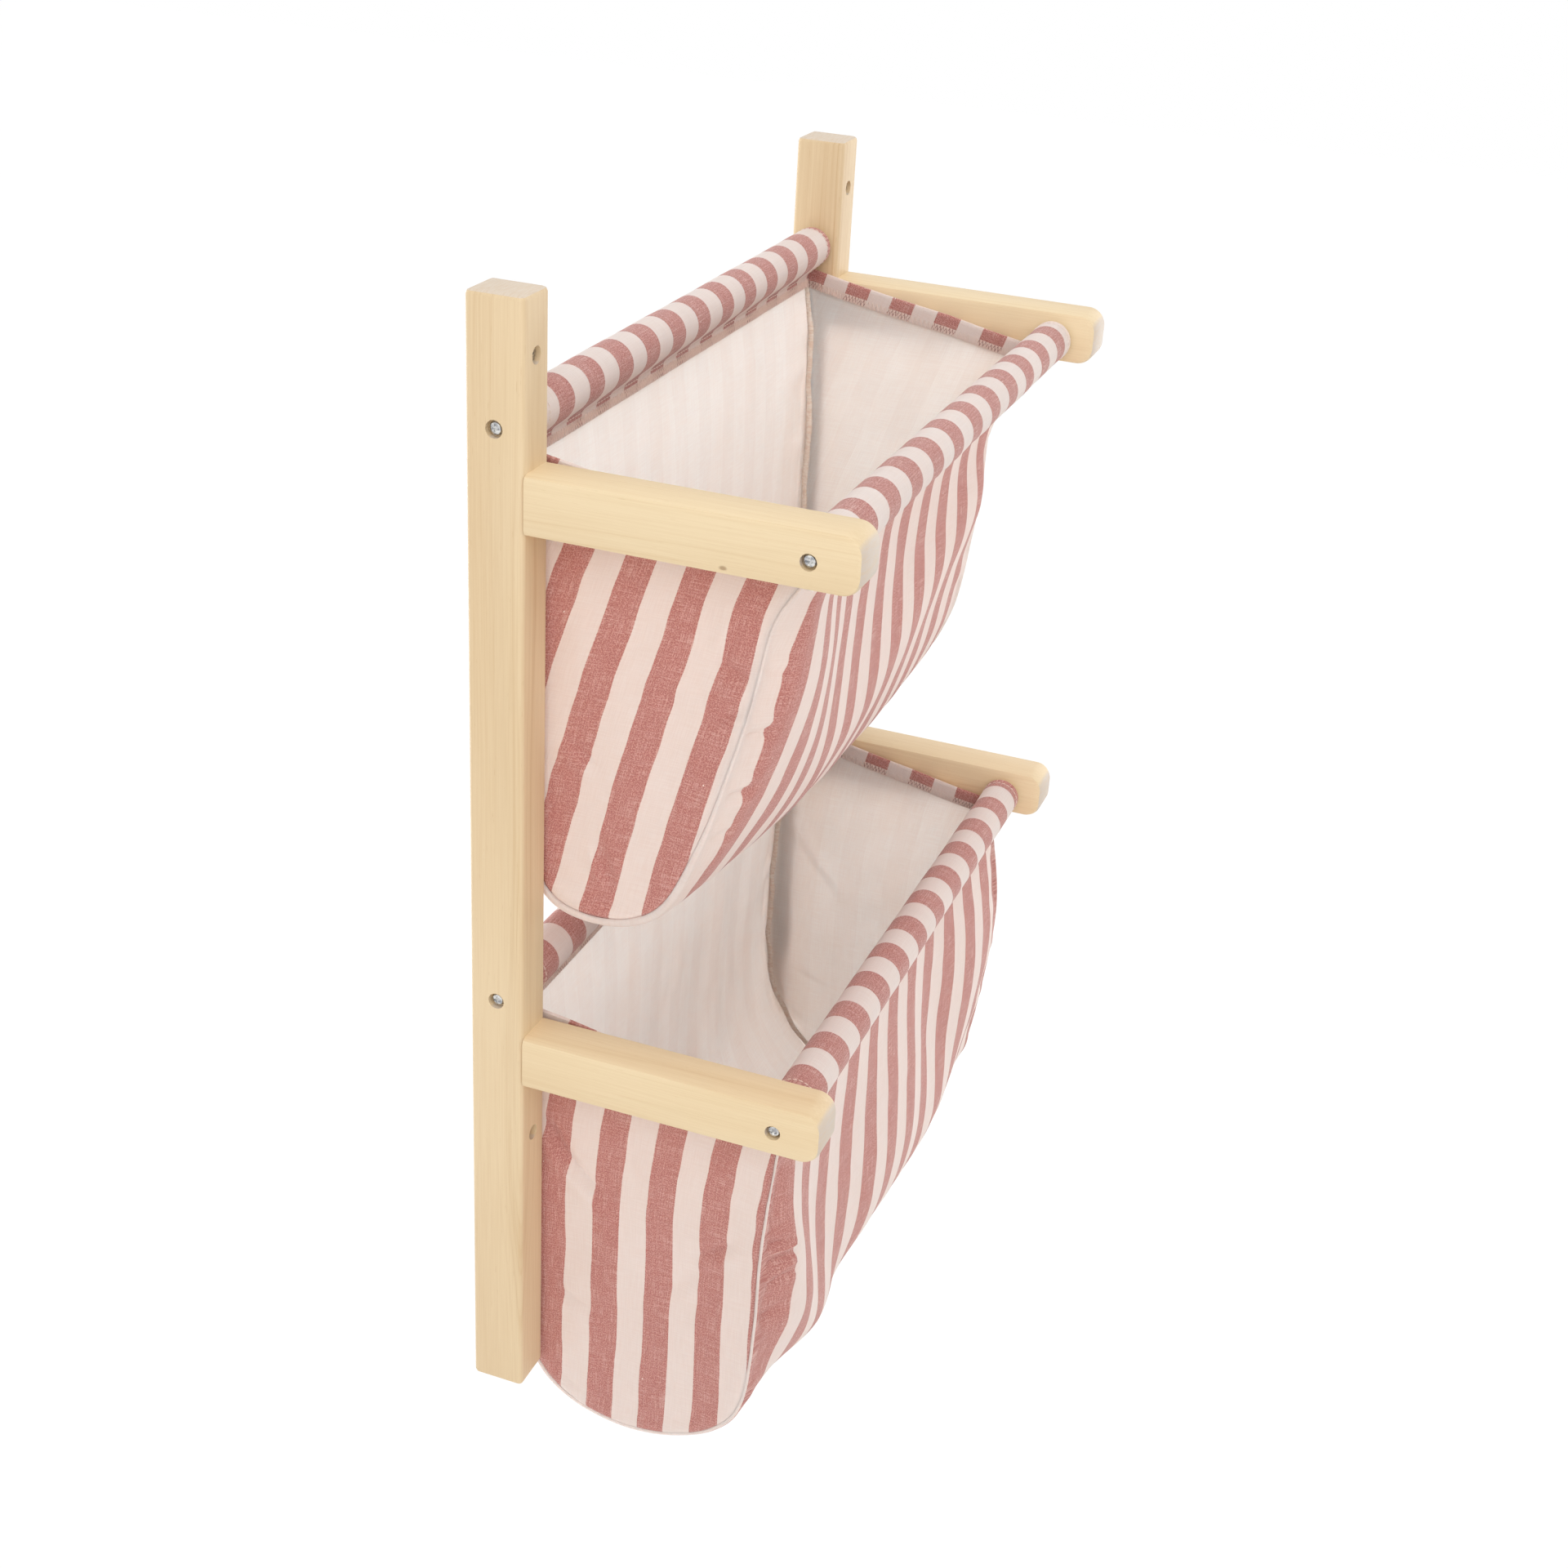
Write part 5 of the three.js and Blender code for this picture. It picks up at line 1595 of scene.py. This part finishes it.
# %% [markdown]
# ## Ropey seams
# Where the panel meets an end, both edges stand into the bag and are bound together by thread. From inside
# this looks like a soft flattened rope, nearly 4 mm wide, that sways a little. Its hundreds of turns of
# thread would be lost at that size, so it is one long flattened tube along the seam, with lumps where the
# thread pulls tight.

# %% Ropey seams
SEAM_WIDTH, SEAM_THICKNESS = 3.8, 1.9
SEAM_SIDES, SEAM_STEP = 10, 0.9
SEAM_TRIM = 6
SEAM_SWAY, SWAY_CELL = 1.5, (17.0, 10.0)
LUMP_HEIGHT, LUMP_SPACING = 0.22, 2.7
LUMPS = (0.25, (3.1, 10.0))
LUMP_THICKNESS_SHARE = 0.5
SEAM_CLEARANCE, SEAM_INSET, SEAM_DEPTH_SWAY = 0.9, 1.3, 0.5
SEAM_SEED, LUMP_SEED_STEP = 400, 10


def seam_points(level, side, seed):
    """Rings of points along the seam at one end, as an array of rings by points."""
    edge = u_edge(level, side)
    edge = resample(edge, int(distances(edge)[-1] / SEAM_STEP))[SEAM_TRIM:-SEAM_TRIM]
    onward = line_ways(edge)
    inward = np.column_stack([onward[:, 1], -onward[:, 0]])
    gone = np.arange(len(edge)) * SEAM_STEP
    still = np.zeros_like(gone)
    sway = unevenness(gone, still, SWAY_CELL, seed)
    lumps = LUMP_HEIGHT * np.sin(2 * np.pi * gone / LUMP_SPACING)
    lumps = lumps + hills(LUMPS, gone, still, seed + LUMP_SEED_STEP)
    middle_x = END_PLACE - SEAM_CLEARANCE - SEAM_THICKNESS / 2 - SEAM_DEPTH_SWAY * (1 + sway)
    middle = edge + inward * (SEAM_INSET + SEAM_WIDTH / 2 + SEAM_SWAY * sway)[:, None]
    turn = np.arange(SEAM_SIDES) * 2 * np.pi / SEAM_SIDES
    wide = (SEAM_WIDTH / 2 + lumps)[:, None] * np.cos(turn)
    thick = (SEAM_THICKNESS / 2 + LUMP_THICKNESS_SHARE * lumps)[:, None] * np.sin(turn)
    yz = middle[:, None] + inward[:, None] * wide[:, :, None]
    return np.concatenate([side * (middle_x[:, None] - thick)[:, :, None], yz], axis=2)


for number, (level_name, level) in enumerate(LEVELS.items()):
    for side_name, side in SIDES.items():
        rings = seam_points(level, side, SEAM_SEED + number + side)
        faces = tube_faces(len(rings), SEAM_SIDES, 0)
        if side < 0:
            faces = [face[::-1] for face in faces]
        name = f"{level_name}_sling_{side_name}_seam"
        piece = link_mesh(name, rings.reshape(-1, 3), faces, [bound_edge])
        level["threads"].append(piece)
        print(piece.name, len(rings), "rings")

# %% [markdown]
# ## Sizes of the ends
# The size of each end, as high as its shape with the hem, is measured in metres as the box round its points.

for level_name, level in LEVELS.items():
    for side_name in SIDES:
        shape = level[f"{side_name}_end_grid"].reshape(-1, 3) * MM
        size = shape.max(axis=0) - shape.min(axis=0)

# %% [markdown]
# ## Floor
# The shelf hangs some way above a pale floor, which softly lights it from below and takes its shadow. In
# the picture the ground is plain white. A floor that only catches shadows would need a render setting, so
# this one glows white for the camera and in reflections, and stays a matt pale floor for the light that
# spreads.

# %% Floor
FLOOR_BELOW = 0.45
FLOOR_SIZE = 14.0
FLOOR_SPECKLE_SCALE = (60, 60, 60)
FLOOR_DARK, FLOOR_LIGHT, FLOOR_ROUGHNESS = "EDEBE8", "F4F3F1", 0.9
FLOOR_GLOW, FLOOR_GLOW_SHARE = 1.04, 0.9
WHITE = (1.0, 1.0, 1.0, 1.0)


def seen_directly(tree):
    """1 where the camera looks, straight, mirrored or through glass, and 0 for light that spreads."""
    path = tree.nodes.new("ShaderNodeLightPath").outputs
    mirrored = work_out(tree, "MAXIMUM", path["Is Glossy Ray"], path["Is Transmission Ray"])
    return work_out(tree, "MAXIMUM", path["Is Camera Ray"], mirrored)


half, floor_z = FLOOR_SIZE / 2, cad_box[0].z - FLOOR_BELOW
corners = [(-half, -half, floor_z), (half, -half, floor_z), (half, half, floor_z), (-half, half, floor_z)]
floor_mesh = bpy.data.meshes.new("floor")
floor_mesh.from_pydata(corners, [], [(0, 1, 2, 3)])
floor = bpy.data.objects.new("floor", floor_mesh)
bpy.context.scene.collection.objects.link(floor)

floor_paint, t, shader = new_material("pale_floor")
speckle = noise(t, object_place(t), FLOOR_SPECKLE_SCALE)
t.links.new(blend(t, speckle, colour(FLOOR_DARK), colour(FLOOR_LIGHT)), shader["Base Color"])
shader["Roughness"].default_value = FLOOR_ROUGHNESS
shader["Specular IOR Level"].default_value = 0.0
paint = t.nodes["Principled BSDF"].outputs[0]
glow = add_node(t, "ShaderNodeEmission", Color=WHITE, Strength=FLOOR_GLOW).outputs[0]
glow_share = work_out(t, "MULTIPLY", seen_directly(t), FLOOR_GLOW_SHARE)
both = add_node(t, "ShaderNodeMixShader", i0=glow_share, i1=paint, i2=glow)
t.links.new(both.outputs[0], t.nodes["Material Output"].inputs["Surface"])
floor_mesh.materials.append(floor_paint)
print("floor at", round(floor_z, 3), "m")

# %% [markdown]
# ## Background and room light
# The background is white for the camera and for reflections. A white world that also lit the shelf would
# wash out its shadows, so the light that it gives is weaker, and weaker still from below, as in a studio
# with a pale ceiling.

# %% Background and room light
ROOM_LIGHT_ABOVE = 0.81
ROOM_LIGHT_BELOW = 0.28
ROOM_BLEND = (-0.5, 0.6)
BACKGROUND = 1.0

world = bpy.data.worlds.new("soft studio")
bpy.context.scene.world = world
world.use_nodes = True
t = world.node_tree
seen = seen_directly(t)
up = split(t, t.nodes.new("ShaderNodeTexCoord").outputs["Generated"])[2]
room = ramp(t, up, *ROOM_BLEND, ROOM_LIGHT_BELOW, ROOM_LIGHT_ABOVE)
room = work_out(t, "MULTIPLY", room, work_out(t, "SUBTRACT", 1.0, seen))
sky = t.nodes["Background"].inputs
sky["Color"].default_value = WHITE
t.links.new(work_out(t, "MULTIPLY_ADD", seen, BACKGROUND, room), sky["Strength"])
print("world", world.name)

# %% [markdown]
# ## Lamps
# A big soft lamp from the upper left gives the main light, because in the photograph the left sides are
# brightest. Weak ones fill in from the front and from above. A lamp in each bag would light its inside, but
# from nowhere, so it is lit through the cloth, by a lamp behind the shelf and one on its right. Square area
# lamps are used throughout.

# %% Lamps
SHELF_MIDDLE, LOWER_MIDDLE, LOWER_BACK = (0.0, -0.1, -0.3), (0.0, -0.1, -0.4), (0.0, 0.0, -0.4)
LAMPS = {
    "left lamp": ((-3.6, -1.35, 2.2), SHELF_MIDDLE, 3.2, 71.0),
    "front lamp": ((-0.5, -2.3, 1.3), SHELF_MIDDLE, 1.8, 1.6),
    "top lamp": ((0.1, -0.5, 2.3), SHELF_MIDDLE, 1.8, 6.4),
    "back lamp": ((0.4, 1.6, -0.6), LOWER_BACK, 1.4, 20.0),
    "right lamp": ((1.9, -0.9, -0.2), LOWER_MIDDLE, 1.6, 11.5),
}

for name, (place, target, size, power) in LAMPS.items():
    data = bpy.data.lights.new(name, "AREA")
    data.shape, data.size, data.energy = "SQUARE", size, power
    lamp = bpy.data.objects.new(name, data)
    lamp.location = place
    lamp.rotation_euler = (Vector(target) - Vector(place)).to_track_quat("-Z", "Y").to_euler()
    bpy.context.scene.collection.objects.link(lamp)
bpy.context.scene.view_settings.view_transform = "Standard"
print("lamps", list(LAMPS))

# %% [markdown]
# ## Sizes
# The finer model has to be as big as the imported one. Its size could be measured in the finished scene by
# hand, and each run prints the box of the imported solids.

# %% Size of the solids
print("the solids' box in metres", [[round(x, 3) for x in corner] for corner in cad_box])
